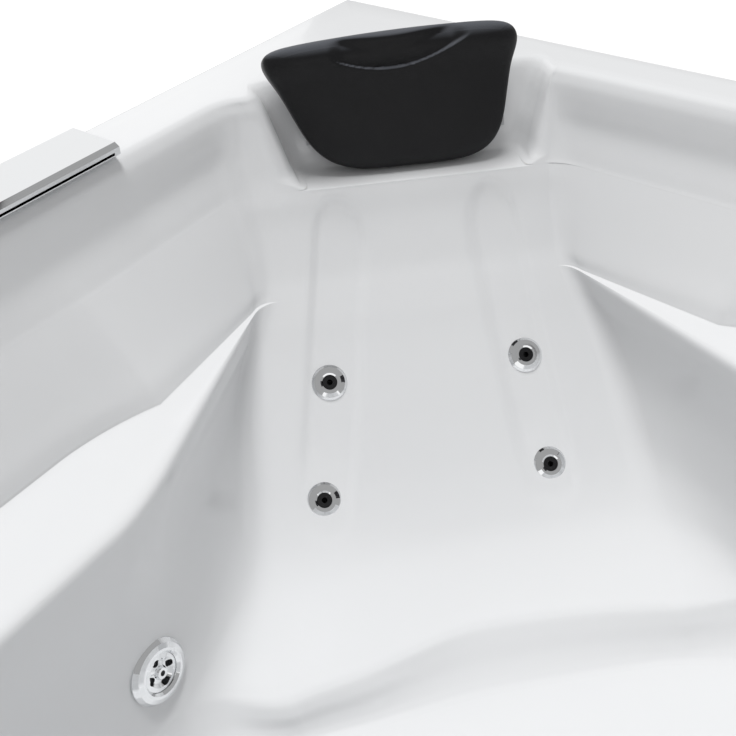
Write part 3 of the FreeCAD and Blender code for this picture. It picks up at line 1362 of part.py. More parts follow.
# ---------------------------------------------------------------- checks and files
doc.recompute()
failed = [item.Name for item in doc.Objects if "Invalid" in item.State or "Error" in item.State]
for name, thing in nodes.items():
    if thing.Shape.isNull() or not thing.Shape.isValid() or not thing.Shape.Solids:
        failed.append(name)
if failed:
    raise RuntimeError("these pieces failed: " + ", ".join(failed))

os.makedirs("parts", exist_ok=True)
for name, thing in nodes.items():
    thing.Shape.exportStep("parts/%s.step" % name)
print("%d pieces, %d solids" % (len(nodes), sum(len(thing.Shape.Solids) for thing in nodes.values())))
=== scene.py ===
"""Looks of the corner jetted bath: smooth acrylic shell, moulded pillow, chrome fittings and studio.

Plan coordinates are those of the construction, in millimetres from the wall corner of the deck: `along`
runs down the left wall, `across` along the back wall, `forward` down the diagonal, `aside` across it, and
`depth` is below the deck.
"""
import json
import math

import bmesh
import bpy
import numpy as np
from mathutils import Matrix, Vector


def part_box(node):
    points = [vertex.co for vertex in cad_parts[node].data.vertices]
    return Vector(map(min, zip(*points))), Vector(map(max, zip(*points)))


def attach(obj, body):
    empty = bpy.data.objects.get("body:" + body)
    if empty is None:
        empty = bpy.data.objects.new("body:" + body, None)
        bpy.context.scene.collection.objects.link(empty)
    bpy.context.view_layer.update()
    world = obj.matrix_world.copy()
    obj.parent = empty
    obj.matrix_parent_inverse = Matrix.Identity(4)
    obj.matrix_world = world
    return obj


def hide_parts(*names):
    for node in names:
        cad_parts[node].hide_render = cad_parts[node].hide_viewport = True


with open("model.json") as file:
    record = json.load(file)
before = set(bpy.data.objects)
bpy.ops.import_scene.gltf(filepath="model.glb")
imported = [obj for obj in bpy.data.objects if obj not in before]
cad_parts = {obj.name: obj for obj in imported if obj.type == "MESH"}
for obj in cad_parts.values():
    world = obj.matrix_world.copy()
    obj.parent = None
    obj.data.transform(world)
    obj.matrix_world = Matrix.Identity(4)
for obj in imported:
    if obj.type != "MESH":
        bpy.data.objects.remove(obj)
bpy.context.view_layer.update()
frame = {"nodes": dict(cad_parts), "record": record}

MM = 0.001
ROOT2 = math.sqrt(2)
SHELL_LOW, SHELL_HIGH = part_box("shell")
SIDE = (SHELL_HIGH.x - SHELL_LOW.x) / MM
HEIGHT = SHELL_HIGH.z / MM


# ------------------------------------------------------------------ plan coordinates
def walls(along, across, depth):
    """A point in metres, from its distances down the left wall, along the back wall and below the deck."""
    return Vector((across - SIDE / 2, SIDE / 2 - along, HEIGHT - depth)) * MM


def seat(forward, aside, depth):
    """A point in metres, from its distance down the diagonal and aside from it."""
    return walls((forward - aside) / ROOT2, (forward + aside) / ROOT2, depth)


FORWARD = Vector((1, -1, 0)) / ROOT2
ASIDE = Vector((1, 1, 0)) / ROOT2
UP = Vector((0, 0, 1))


# ------------------------------------------------------------------ small tools
def linked(name, data):
    """A new object in the scene for the data."""
    thing = bpy.data.objects.new(name, data)
    bpy.context.scene.collection.objects.link(thing)
    return thing


def new_mesh(name, points, faces, smooth_angle=40):
    """A mesh object that is smooth except along edges sharper than the angle."""
    mesh = bpy.data.meshes.new(name)
    mesh.from_pydata([tuple(p) for p in points], [], faces)
    mesh.validate()
    mesh.shade_smooth()
    mesh.set_sharp_from_angle(angle=math.radians(smooth_angle))
    return linked(name, mesh)


def applied(thing):
    """The object with its modifiers made part of its mesh."""
    bpy.context.view_layer.update()
    graph = bpy.context.evaluated_depsgraph_get()
    mesh = bpy.data.meshes.new_from_object(thing.evaluated_get(graph))
    thing.modifiers.clear()
    thing.data = mesh
    return thing


def smooth_step(low, high, value):
    """0 below the low value and 1 above the high one, with a soft rise between them."""
    t = np.clip((value - low) / (high - low), 0, 1)
    return t * t * (3 - 2 * t)


def pchip(stops, values, at):
    """Curve through the values that never overshoots them."""
    stops, values = np.asarray(stops, float), np.asarray(values, float)
    run = np.diff(stops)
    slope = np.diff(values) / run
    grade = np.zeros(len(values))
    same = slope[:-1] * slope[1:] > 0
    near, far = 2 * run[1:] + run[:-1], run[1:] + 2 * run[:-1]
    with np.errstate(divide="ignore", invalid="ignore"):
        mean = (near + far) / (near / slope[:-1] + far / slope[1:])
    grade[1:-1] = np.where(same, mean, 0)
    grade[0], grade[-1] = slope[0], slope[-1]
    i = np.clip(np.searchsorted(stops, at, "right") - 1, 0, len(run) - 1)
    t = (at - stops[i]) / run[i]
    start, end = values[i], values[i + 1]
    leave, arrive = grade[i] * run[i], grade[i + 1] * run[i]
    return (
        start * (2 * t**3 - 3 * t**2 + 1) + leave * (t**3 - 2 * t**2 + t)
        + end * (3 * t**2 - 2 * t**3) + arrive * (t**3 - t**2)
    )


# ------------------------------------------------------------------ materials
def material(name, colour, roughness, metallic=0.0, **sockets):
    """A new material and its shader, with plain values on the shader's own sockets."""
    made = bpy.data.materials.new(name)
    made.use_nodes = True
    shader = made.node_tree.nodes["Principled BSDF"]
    shader.inputs["Base Color"].default_value = (*colour, 1)
    shader.inputs["Roughness"].default_value = roughness
    shader.inputs["Metallic"].default_value = metallic
    for socket, value in sockets.items():
        shader.inputs[socket.replace("_", " ")].default_value = value
    return made, shader


def texture(made, kind, scale, **sockets):
    """A procedural texture in the object's own coordinates, scaled in features per metre."""
    nodes, links = made.node_tree.nodes, made.node_tree.links
    spot = nodes.new("ShaderNodeTexCoord")
    node = nodes.new(kind)
    links.new(spot.outputs["Object"], node.inputs["Vector"])
    node.inputs["Scale"].default_value = scale
    for socket, value in sockets.items():
        node.inputs[socket].default_value = value
    return node


def tinted(made, shader, source, dark, light):
    """Colour that wanders between two tones with a source from 0 to 1."""
    node = made.node_tree.nodes.new("ShaderNodeMix")
    node.data_type = "RGBA"
    made.node_tree.links.new(source, node.inputs["Factor"])
    node.inputs["A"].default_value = (*dark, 1)
    node.inputs["B"].default_value = (*light, 1)
    made.node_tree.links.new(node.outputs["Result"], shader.inputs["Base Color"])


def roughened(made, shader, source, low, high):
    """Roughness that wanders between two values with a source from 0 to 1."""
    node = made.node_tree.nodes.new("ShaderNodeMapRange")
    made.node_tree.links.new(source, node.inputs["Value"])
    node.inputs["To Min"].default_value = low
    node.inputs["To Max"].default_value = high
    made.node_tree.links.new(node.outputs["Result"], shader.inputs["Roughness"])


def bumped(made, shader, source, height, strength):
    """Relief in metres from a source from 0 to 1."""
    node = made.node_tree.nodes.new("ShaderNodeBump")
    node.inputs["Distance"].default_value = height
    node.inputs["Strength"].default_value = strength
    made.node_tree.links.new(source, node.inputs["Height"])
    made.node_tree.links.new(node.outputs["Normal"], shader.inputs["Normal"])


def facing_up(made, low, high):
    """0 to 1 by how far the surface faces up, from the low to the high height of its normal."""
    nodes, links = made.node_tree.nodes, made.node_tree.links
    geometry = nodes.new("ShaderNodeNewGeometry")
    axes = nodes.new("ShaderNodeSeparateXYZ")
    links.new(geometry.outputs["Normal"], axes.inputs["Vector"])
    upward = nodes.new("ShaderNodeMapRange")
    upward.interpolation_type = "SMOOTHSTEP"
    links.new(axes.outputs["Z"], upward.inputs["Value"])
    upward.inputs["From Min"].default_value = low
    upward.inputs["From Max"].default_value = high
    return upward.outputs["Result"]


def acrylic():
    """Gel-gloss sanitary acrylic: cool white, faint ripple of the vacuum-formed sheet."""
    made, shader = material("acrylic", (0.74, 0.75, 0.76), 0.16, Coat_Weight=0.35, Coat_Roughness=0.04)
    cloud = texture(made, "ShaderNodeTexNoise", 3.0, Detail=2.0)
    tinted(made, shader, cloud.outputs["Fac"], (0.732, 0.740, 0.752), (0.752, 0.757, 0.763))
    ripple = texture(made, "ShaderNodeTexNoise", 16.0, Detail=1.0)
    roughened(made, shader, ripple.outputs["Fac"], 0.13, 0.21)
    bumped(made, shader, ripple.outputs["Fac"], 0.0006, 0.25)
    return made


def raw_shell():
    """Underside of the shell: glass-fibre reinforcement, rough and yellowish white."""
    made, shader = material("reinforced_back", (0.62, 0.60, 0.53), 0.62)
    strands = texture(made, "ShaderNodeTexVoronoi", 90.0)
    tinted(made, shader, strands.outputs["Distance"], (0.66, 0.64, 0.57), (0.50, 0.48, 0.41))
    bumped(made, shader, strands.outputs["Distance"], 0.0012, 0.7)
    return made


def moulded_skin():
    """Black integral-skin foam with a fine pebble grain, painted a little lighter bluish grey where it faces
    up: a painted highlight of the bright sky on its top roll.
    """
    # the second tone is a painted sheen: lighter bluish grey that stands in for the sky's highlight on upward
    # faces
    black, painted_sheen = (0.010, 0.010, 0.011), (0.085, 0.090, 0.102)
    made, shader = material("pillow_skin", black, 0.40, Specular_IOR_Level=0.22)
    pebble = texture(made, "ShaderNodeTexVoronoi", 620.0)
    blotch = texture(made, "ShaderNodeTexNoise", 28.0, Detail=3.0)
    # painted highlight: base colour turns from black to the lighter bluish grey as the normal turns up
    tinted(made, shader, facing_up(made, 0.62, 0.98), black, painted_sheen)
    roughened(made, shader, blotch.outputs["Fac"], 0.36, 0.50)
    bumped(made, shader, pebble.outputs["Distance"], 0.00030, 0.6)
    return made


def chrome():
    """Bright plating with the faint cloudiness of handled metal."""
    made, shader = material("chrome", (0.86, 0.87, 0.88), 0.05, metallic=1.0)
    cloud = texture(made, "ShaderNodeTexNoise", 40.0, Detail=2.0)
    roughened(made, shader, cloud.outputs["Fac"], 0.03, 0.09)
    return made


GRAIN_SPREAD = 0.12
GRAIN_DULLER = 0.2
GRAIN_STRENGTH = 0.5


def grained(name, colour, roughness, metallic=0.0, scale=120.0, height=0.0003):
    """A plain material with a fine grain, mottled a little lighter and darker."""
    made, shader = material(name, colour, roughness, metallic)
    grain = texture(made, "ShaderNodeTexNoise", scale, Detail=3.0)
    dark = tuple(c * (1 - GRAIN_SPREAD) for c in colour)
    light = tuple(min(1.0, c * (1 + GRAIN_SPREAD)) for c in colour)
    tinted(made, shader, grain.outputs["Fac"], dark, light)
    low, high = roughness * (1 - GRAIN_DULLER), min(1.0, roughness * (1 + GRAIN_DULLER))
    roughened(made, shader, grain.outputs["Fac"], low, high)
    bumped(made, shader, grain.outputs["Fac"], height, GRAIN_STRENGTH)
    return made


ACRYLIC = acrylic()
REINFORCED = raw_shell()
SKIN = moulded_skin()
NOZZLE_BLACK = grained("black_plastic", (0.006, 0.006, 0.007), 0.30, height=0.0001)
PLATE_GREY = grained("grey_plastic", (0.50, 0.50, 0.51), 0.40, height=0.0001)
FINISHES = {
    "acrylic": ACRYLIC,
    "panel": ACRYLIC,
    "pillow_skin": SKIN,
    "chrome": chrome(),
    "jet_plastic": grained("jet_plastic", (0.045, 0.045, 0.05), 0.38),
    "pipe_white": grained("pipe_white", (0.74, 0.74, 0.72), 0.34, scale=60.0),
    "valve_brass": grained("valve_brass", (0.72, 0.53, 0.25), 0.30, 1.0),
    "motor_paint": grained("motor_paint", (0.06, 0.13, 0.24), 0.42),
    "pump_plastic": grained("pump_plastic", (0.03, 0.03, 0.033), 0.45),
    "frame_steel": grained("frame_steel", (0.56, 0.57, 0.58), 0.42, 1.0, scale=35.0),
    "foot_rubber": grained("foot_rubber", (0.03, 0.03, 0.03), 0.75),
}


def finish_of(name, slot):
    """The material of a solid, by its slot, except the dark nozzles and the pillow's grey plate."""
    if name.startswith("back_jet_nozzle"):
        return NOZZLE_BLACK
    if name == "pillow_plate":
        return PLATE_GREY
    return FINISHES[slot]


slot_of = {part["node"]: part["material_slot"] for part in frame["record"]["subparts"]}
for name, node in frame["nodes"].items():
    node.data.materials.clear()
    node.data.materials.append(finish_of(name, slot_of[name]))

# ------------------------------------------------------------------ shell: outline of one level
# the front is an arc through its middle and the far ends of the two straight returns
FRONT_MID = 1560
SIDE_RETURN = 450
CORNER_MID = (SIDE + SIDE_RETURN) / ROOT2
CORNER_HALF = (SIDE - SIDE_RETURN) / ROOT2
FRONT_CENTRE = (FRONT_MID**2 - CORNER_MID**2 - CORNER_HALF**2) / (2 * (FRONT_MID - CORNER_MID))
FRONT_RADIUS = FRONT_MID - FRONT_CENTRE
HUB = FRONT_CENTRE / ROOT2
FRONT_DECK = 85
# the pocket behind the pillow: its back and half width at the deck, and how they change down to its ledge
POCKET_DEPTH = 98
POCKET_BACK_TOP, POCKET_LEAN = 288, 46
POCKET_HALF_TOP, POCKET_TAPER = 185, 35
POCKET_BACK_LOW = POCKET_BACK_TOP + POCKET_LEAN
# pocket, cushion and recesses lean aside by this share of their distance down the diagonal
LEAN = -0.10
LEAN_FROM = 520
POCKET_ASIDE = LEAN * (POCKET_BACK_LOW - LEAN_FROM)
# the backrest's points of a level lie no further forward of its back than this
BACK_REACH = 60
# the front edge of the seat runs further out, most of all on the left, and fades beside the backrest
CREST_OUT, CREST_SKEW = 7, 24
CREST_LEFT, CREST_FADE = 170, 90
# a rounded corner takes no more than this share of either side
MOST_REACH = 0.49
# how many points each stretch of half an outline gets
BACK_HALF, POCKET_BEND, POCKET_SIDE, MOUTH, BACK_REST = 22, 8, 8, 8, 14
CORNER, TAPER, BEND, WALL_RUN, FRONT_BEND, FRONT_HALF = 10, 16, 20, 24, 12, 22


def leaned(forward, aside):
    """How far aside a spot of the backrest lies once it leans."""
    return aside + LEAN * (forward - LEAN_FROM)


def stretch(start, end, count):
    """Evenly spaced points from the start up to, but not including, the end."""
    share = np.arange(count)[:, None] / count
    return np.asarray(start) + (np.asarray(end) - np.asarray(start)) * share


def arched(start, corner, stop, count):
    """Points on a curve from the start towards, but not including, the stop, drawn to the corner."""
    t = np.arange(count)[:, None] / count
    return (1 - t) ** 2 * start + 2 * t * (1 - t) * corner + t**2 * stop


def rounded(before, corner, after, reach_in, reach_out, count):
    """Where the round of a corner starts, its points, and where it stops."""
    before, corner, after = (np.asarray(p, float) for p in (before, corner, after))
    run_in, run_out = np.linalg.norm(before - corner), np.linalg.norm(after - corner)
    start = corner + (before - corner) * min(reach_in / run_in, MOST_REACH)
    stop = corner + (after - corner) * min(reach_out / run_out, MOST_REACH)
    return start, arched(start, corner, stop, count), stop


def left_point(forward, aside):
    """(along, across) of a point beside the diagonal, on its left side."""
    return np.array([(forward + aside) / ROOT2, (forward - aside) / ROOT2])


def half_outline(level, sign):
    """Half of one level in (along, across), from the middle of its back to that of its front."""
    pocket_half = level["pocket_half"] + sign * POCKET_ASIDE
    middle = left_point(level["pocket_back"], 0)
    first = left_point(level["pocket_back"], pocket_half - level["pocket_in"])
    mouth = left_point(level["back"], pocket_half)
    corner = left_point(level["back"], level["half"])
    tip = np.array([level["tip_along"], level["tip_across"]])
    bend = np.array([level["bend_along"], level["bend_across"]])
    wall_start = np.array([level["bend_along"] + level["bend_reach"], level["edge"]])
    pocket_round = level["pocket_round"]
    mouth_round = level["mouth_round"]
    corner_round = level["corner_round"]
    bend_in = np.linalg.norm(tip - bend) * level["bend_share"]
    last = middle
    parts = []
    for before, at, after, reach_in, reach_out, straight, turning in (
        (middle, first, mouth, pocket_round, pocket_round, BACK_HALF, POCKET_BEND),
        (first, mouth, corner, mouth_round, mouth_round, POCKET_SIDE, MOUTH),
        (mouth, corner, tip, corner_round, corner_round, BACK_REST, CORNER),
        (tip, bend, wall_start, bend_in, level["bend_reach"], TAPER, BEND),
    ):
        start, curve, stop = rounded(before, at, after, reach_in, reach_out, turning)
        parts += [stretch(last, start, straight), curve]
        last = stop
    radius = FRONT_RADIUS - FRONT_DECK - level["front"]
    turn = np.array([HUB + math.sqrt(radius**2 - (level["edge"] - HUB) ** 2), level["edge"]])
    start = turn - np.array([level["front_round"], 0])
    angle = math.atan2(turn[1] - HUB, turn[0] - HUB) + level["front_round"] / radius
    stop = HUB + radius * np.array([math.cos(angle), math.sin(angle)])
    parts += [stretch(last, start, WALL_RUN), arched(start, turn, stop, FRONT_BEND)]
    sweep = np.linspace(angle, math.pi / 4, FRONT_HALF + 1)
    parts += [HUB + radius * np.column_stack([np.cos(sweep), np.sin(sweep)])]
    return np.vstack(parts)


def outline(level):
    """One closed level, round from the middle of the back by the left side, as (along, across, depth)."""
    left = half_outline(level, -1)
    right = half_outline(level, 1)[:, ::-1]
    plan = np.vstack([left, right[-2:0:-1]])
    forward, aside = plan.sum(1) / ROOT2, (plan[:, 1] - plan[:, 0]) / ROOT2
    at_back = forward < level["back"] + BACK_REACH
    bowed = np.clip(1 - (aside / level["half"]) ** 2, 0, 1) * at_back
    skewed = CREST_OUT + CREST_SKEW * smooth_step(0, CREST_LEFT, -aside)
    skewed *= at_back * (1 - smooth_step(level["half"], level["half"] + CREST_FADE, np.abs(aside)))
    plan += ((level["crest"] * skewed - level["bow"] * bowed) / ROOT2)[:, None]
    return np.column_stack([plan, np.full(len(plan), level["depth"])])


# ------------------------------------------------------------------ shell: levels of the basin
# depth of the armrests and of the floor
REST = 200
FLOOR = 480
# half width of the backrest
HALF = 246
# above the armrests: where the wall bulges to the armrest's tip, where it is straight again, and by how much
TIP_ALONG, TIP_BULGE = 619, 52
WALL_ALONG, WALL_BULGE, WALL_REACH, WALL_SHARE = 734, 6, 116, 0.98
UPPER_FRONT, UPPER_FRONT_ROUND = 30, 92
UPPER_CORNER_ROUND, TIGHTER_AT_REST = 38, 20
# below the armrests: where the wall leaves its straight run, how that moves with the depth, and its rounds
BEND_START, BEND_DRIFT, BEND_CLEAR = 800, 0.2, 95
BEND_REACH, BEND_SHARE = 60.0, 0.3
LOWER_FRONT_ROUND, LOWER_CORNER_ROUND = 108.0, 26.0
TAPER_BEND = 0.45
# at the armrests: half width of the backrest, how far the front is set in, and what each gains with the depth
REST_HALF, REST_SPREAD = 199.5, 0.55
REST_FRONT, REST_FRONT_SPREAD = 28, 0.1
POCKET_ROUND, POCKET_MOUTH = 22.0, 26.0
# below the pocket its points lie evenly along the straight back
NO_POCKET = {"pocket_half": 150.0, "pocket_in": 30.0, "pocket_round": 8.0, "mouth_round": 8.0}

# the rounded edge of the deck: depth, back, edge, front, and how far the pocket is rounded outwards
EDGE_ROWS = (
    (0.0, 318.0, 70.0, -12.0, 12.0),
    (0.9, 323.0, 75.0, -8.0, 8.0),
    (3.5, 328.0, 80.5, -3.5, 4.5),
    (8.0, 331.0, 85.0, -0.8, 2.2),
    (15.0, 336.0, 90.0, 1.0, 0.8),
    (24.0, 341.0, 94.0, 2.4, 0.0),
)
# the wall beside the pocket: depth, back, slope, edge, how far the pocket widens, and the round of its mouth
POCKET_ROWS = (
    (40, 351, 0.15, 99.5, 0.0, POCKET_MOUTH),
    (60, 364, 0.25, 106, 0.0, POCKET_MOUTH),
    (84, 380, 0.38, 120, 0.0, POCKET_MOUTH),
    (94, 387.5, 0.43, 126, -3.0, 10.0),
    (97.6, 390.3, 0.455, 128.5, -10.0, 8.0),
)
# the wall below the pocket: depth, back, slope and edge
WALL_ROWS = (
    (98.4, 390.9, 0.46, 129),
    (101, 393, 0.475, 130.8),
    (110, 400, 0.52, 137),
    (130, 414, 0.64, 150),
    (160, 438, 0.80, 169),
    (184, 458.5, 0.93, 184),
    (197, 471.5, 0.985, 190.3),
    (200, 474.5, 1.0, 192),
)
# the armrests: depth, back, edge, and the tip's place along and across
REST_ROWS = (
    (200.3, 474.8, 290.0, 619.0, 246.8),
    (201.5, 476.0, 300.0, 619.5, 248.5),
    (204.5, 479.0, 306.5, 620.0, 251.0),
    (210.0, 484.5, 310.0, 621.0, 253.0),
    (222.0, 496.5, 312.0, 624.0, 254.5),
)
# the wall below the armrests: depth, back, what the backrest lacks of its half width, edge, front, bow of the
# backrest, share of the seat's skewed front edge, and how far inwards the taper bends
SEAT_ROWS = (
    (246, 520, 20, 315, 36, 0.5, 0.0, 6.0),
    (300, 577, 4, 317.5, 46, 1.5, 0.0, 3.0),
    (335, 616, 2, 321.8, 51, 2.7, 0.0, 1.0),
    (370, 658, 0, 328, 56, 4, 0.0, 0),
    (394, 692, 2, 334, 60, 6, 0.0, 0),
    (415, 728, 5, 340, 64, 10, 0.2, 0),
    (432, 775, 8, 347, 71, 17, 0.7, 0),
    (441, 812, 11, 352, 77, 24, 1.0, 0),
    (444.5, 828, 13, 355, 80, 24, 1.0, 0),
    (447, 834, 14, 358, 84, 23, 1.0, 0),
    (456, 846, 17, 368, 95, 20, 0.9, 0),
    (468, 860, 22, 384, 112, 14, 0.65, 0),
    (476, 873, 29, 404, 134, 9, 0.45, 0),
    (479, 880, 34, 416, 148, 7, 0.4, 0),
    (480, 886, 38, 426, 158, 6, 0.4, 0),
)
STEPS_BETWEEN = 6


def upper(depth, back, slope, edge):
    """A level above the armrests. The wall bulges inwards to the tip of the armrest lower down."""
    bulge = slope**2
    return dict(
        NO_POCKET, depth=depth, back=back, half=back - ROOT2 * edge, edge=edge,
        tip_along=TIP_ALONG, tip_across=edge + TIP_BULGE * bulge,
        bend_along=WALL_ALONG, bend_across=edge + WALL_BULGE * bulge, bend_reach=WALL_REACH,
        bend_share=WALL_SHARE, front=slope * UPPER_FRONT, front_round=UPPER_FRONT_ROUND,
        corner_round=UPPER_CORNER_ROUND - TIGHTER_AT_REST * bulge, bow=0.0, crest=0.0, pocket_back=back,
    )


def with_pocket(level, grow, mouth_round):
    """The level with the pocket behind the pillow, widened by so much."""
    share = level["depth"] / POCKET_DEPTH
    return dict(
        level, pocket_back=POCKET_BACK_TOP + POCKET_LEAN * share - grow,
        pocket_half=POCKET_HALF_TOP - POCKET_TAPER * share + grow, pocket_in=0.0, pocket_round=POCKET_ROUND,
        mouth_round=mouth_round,
    )


def bend_start(depth, back, half):
    """How far down the left wall a lower level bends in towards the backrest."""
    return max(BEND_START + BEND_DRIFT * (depth - REST), (back + half) / ROOT2 + BEND_CLEAR)


def lower(depth, back, half, edge, front, bow, tip_along, tip_across, crest=0.0):
    """A level below the armrests: the side wall bends in towards the backrest."""
    return dict(
        NO_POCKET, depth=depth, back=back, half=half, edge=edge, tip_along=tip_along, tip_across=tip_across,
        bend_along=bend_start(depth, back, half), bend_across=edge, bend_reach=BEND_REACH,
        bend_share=BEND_SHARE, front=front, front_round=LOWER_FRONT_ROUND,
        corner_round=LOWER_CORNER_ROUND, bow=bow, crest=crest, pocket_back=back,
    )


def on_taper(depth, back, half, edge, inward):
    """A point on the straight taper of a lower level, a little inward of it."""
    corner_along, corner_across = (back + half) / ROOT2, (back - half) / ROOT2
    run = bend_start(depth, back, half) - corner_along
    return corner_along + run * TAPER_BEND, corner_across + (edge - corner_across) * TAPER_BEND + inward


def stated_levels():
    """The levels that are stated, from the deck down to the floor."""
    levels = []
    for depth, back, edge, front, grow in EDGE_ROWS:
        level = dict(upper(depth, back, 0.0, edge), front=front)
        levels.append(with_pocket(level, grow, POCKET_MOUTH))
    for depth, back, slope, edge, grow, mouth_round in POCKET_ROWS:
        levels.append(with_pocket(upper(depth, back, slope, edge), grow, mouth_round))
    levels += [upper(*row) for row in WALL_ROWS]
    for depth, back, edge, tip_along, tip_across in REST_ROWS:
        half = REST_HALF + (depth - REST) * REST_SPREAD
        front = REST_FRONT + (depth - REST) * REST_FRONT_SPREAD
        levels.append(lower(depth, back, half, edge, front, 0.0, tip_along, tip_across))
    for depth, back, narrower, edge, front, bow, crest, inward in SEAT_ROWS:
        half = HALF - narrower
        tip = on_taper(depth, back, half, edge, inward)
        levels.append(lower(depth, back, half, edge, front, bow, *tip, crest))
    return levels


def between(levels, steps):
    """The levels with smooth ones added between them."""
    stops = np.arange(len(levels))
    at = np.linspace(0, len(levels) - 1, (len(levels) - 1) * steps + 1)
    columns = {field: pchip(stops, [row[field] for row in levels], at) for field in levels[0]}
    return [{field: column[i] for field, column in columns.items()} for i in range(len(at))]


# ------------------------------------------------------------------ shell: deck, lip and floor
LIP_DROP = 46
LIP_SHARES = (1.0, 0.5)
RIM_ROUND = 6
ROUND_SHARES = (0.0, 0.25, 0.5, 0.75, 1.0)
DECK_SHARES = (0.25, 0.5, 0.75)
# the bend of the basin's front corner faces the return as far as this, and so many points follow to its end
BEND_FACES, RETURN_RUN = 140, 7
# which point of half a rim lies where
CORNER_END = BACK_HALF + POCKET_BEND + POCKET_SIDE + MOUTH + BACK_REST + CORNER
WALL_END = CORNER_END + TAPER + BEND + WALL_RUN
OUTER_CORNER = WALL_END + FRONT_BEND // 2
BEND_END = WALL_END + FRONT_BEND
RETURN_END = BEND_END + RETURN_RUN


def spread(column, first, last, start, end):
    """Spaces the numbers from the first to the last place evenly from the start to the end."""
    column[first : last + 1] = np.linspace(start, end, last - first + 1)


def half_rim(side, half, inset):
    """Half of the outer edge, as (down this wall, along the other), for the same half of the inner one."""
    edge = SIDE - inset
    radius = FRONT_RADIUS - inset
    turn = HUB + math.sqrt(radius**2 - (edge - HUB) ** 2)
    points = np.zeros((half + 1, 2))
    down = side[:, 0]
    share = (down[: CORNER_END + 1] - down[0]) / (down[CORNER_END] - down[0])
    points[: CORNER_END + 1, 0] = inset + (down[CORNER_END] - inset) * share
    points[: OUTER_CORNER + 1, 1] = inset
    spread(points[:, 0], CORNER_END, WALL_END, down[CORNER_END], down[WALL_END])
    spread(points[:, 0], WALL_END, OUTER_CORNER, down[WALL_END], edge)
    points[OUTER_CORNER : RETURN_END + 1, 0] = edge
    spread(points[:, 1], OUTER_CORNER, BEND_END, inset, BEND_FACES)
    spread(points[:, 1], BEND_END, RETURN_END, BEND_FACES, turn)
    sweep = np.linspace(math.atan2(turn - HUB, edge - HUB), math.pi / 4, half - RETURN_END + 1)
    points[RETURN_END:] = HUB + radius * np.column_stack([np.cos(sweep), np.sin(sweep)])
    return points


def rim(inner, inset, depth):
    """The outer edge of the deck, with a point for each point of the inner edge."""
    half = len(inner) // 2
    left = half_rim(inner[: half + 1, :2], half, inset)
    mirrored = np.vstack([inner[:1], inner[: half - 1 : -1]])[:, 1::-1]
    right = half_rim(mirrored, half, inset)[:, ::-1]
    plan = np.vstack([left, right[-2:0:-1]])
    return np.column_stack([plan, np.full(len(plan), depth)])


def deck_loops(inner):
    """Lip, rounded rim and deck, from the lip's lower edge to the inner edge of the deck."""
    loops = [rim(inner, 0.0, LIP_DROP * share) for share in LIP_SHARES]
    for share in ROUND_SHARES:
        turned = share * math.pi / 2
        inset = RIM_ROUND * (1 - math.cos(turned))
        loops.append(rim(inner, inset, RIM_ROUND * (1 - math.sin(turned))))
    outer = loops[-1]
    return loops + [outer + (inner - outer) * share for share in DECK_SHARES]


WASTE = np.array([1180 / ROOT2, 1180 / ROOT2, FLOOR])
FLOOR_SHARES = (0.12, 0.26, 0.42, 0.58, 0.74, 0.88, 0.97)


def floor_loops(last):
    """Loops of the floor, closing in on the waste."""
    return [last + (WASTE - last) * share for share in FLOOR_SHARES]


# ------------------------------------------------------------------ shell: recesses behind the jets
STRIP_HALF, STRIP_DEPTH, STRIP_EDGE = 36, 3, 12
STRIP_OUTER_EDGE = STRIP_HALF + 2
STRIP_TOP, STRIP_FOOT = 396 + STRIP_HALF, 702 - STRIP_HALF
STRIP_TOP_ASIDE, STRIP_FOOT_ASIDE = 100, 143
# a recess loses this share of its depth over the rest of its length, and no point past the end is in one
STRIP_FADE, STRIP_FADE_FROM, STRIPS_END = 0.75, 0.75, 760


def sink_strips(points):
    """Presses the two long rounded recesses into the backrest."""
    forward = (points[:, 0] + points[:, 1]) / ROOT2
    aside = (points[:, 1] - points[:, 0]) / ROOT2
    on_back = (points[:, 2] > POCKET_DEPTH) & (forward < STRIPS_END)
    push = np.zeros(len(points))
    for sign in (-1, 1):
        head = np.array([STRIP_TOP, leaned(STRIP_TOP, sign * STRIP_TOP_ASIDE)])
        foot = np.array([STRIP_FOOT, leaned(STRIP_FOOT, sign * STRIP_FOOT_ASIDE)])
        run = foot - head
        spot = np.column_stack([forward, aside]) - head
        share = np.clip(spot @ run / (run @ run), 0, 1)
        away = np.linalg.norm(spot - share[:, None] * run, axis=1)
        fade = 1 - STRIP_FADE * smooth_step(STRIP_FADE_FROM, 1.0, share)
        sunk = 1 - smooth_step(STRIP_HALF - STRIP_EDGE, STRIP_OUTER_EDGE, away)
        push = np.maximum(push, fade * sunk)
    step = push * on_back * STRIP_DEPTH / ROOT2
    moved = points.copy()
    moved[:, 0] -= step / ROOT2
    moved[:, 1] -= step / ROOT2
    moved[:, 2] += step
    return moved


# ------------------------------------------------------------------ shell: the thick skin and its bores
WALL = 8
# round the pocket the skin is shown thinner, because its two faces would cross there
THIN_SHARE = 0.1
THIN_FORWARD, THIN_HALF, THIN_DEPTH = 410, 240, POCKET_DEPTH + 16
SHELL_SMOOTH_ANGLE = 60
# radius of the hole in the shell behind each fitting, hidden by the fitting's face
BORES = {
    "back_jet_nozzle_upper_left": 12,
    "back_jet_nozzle_upper_right": 12,
    "back_jet_nozzle_lower_left": 12,
    "back_jet_nozzle_lower_right": 12,
    "side_jet_rotor_rear_left": 24,
    "side_jet_rotor_front_left": 24,
    "side_jet_rotor_rear_right": 24,
    "side_jet_rotor_front_right": 24,
    "drain_plug": 22,
}
BORE_LONG, BORE_SIDES = 60, 40


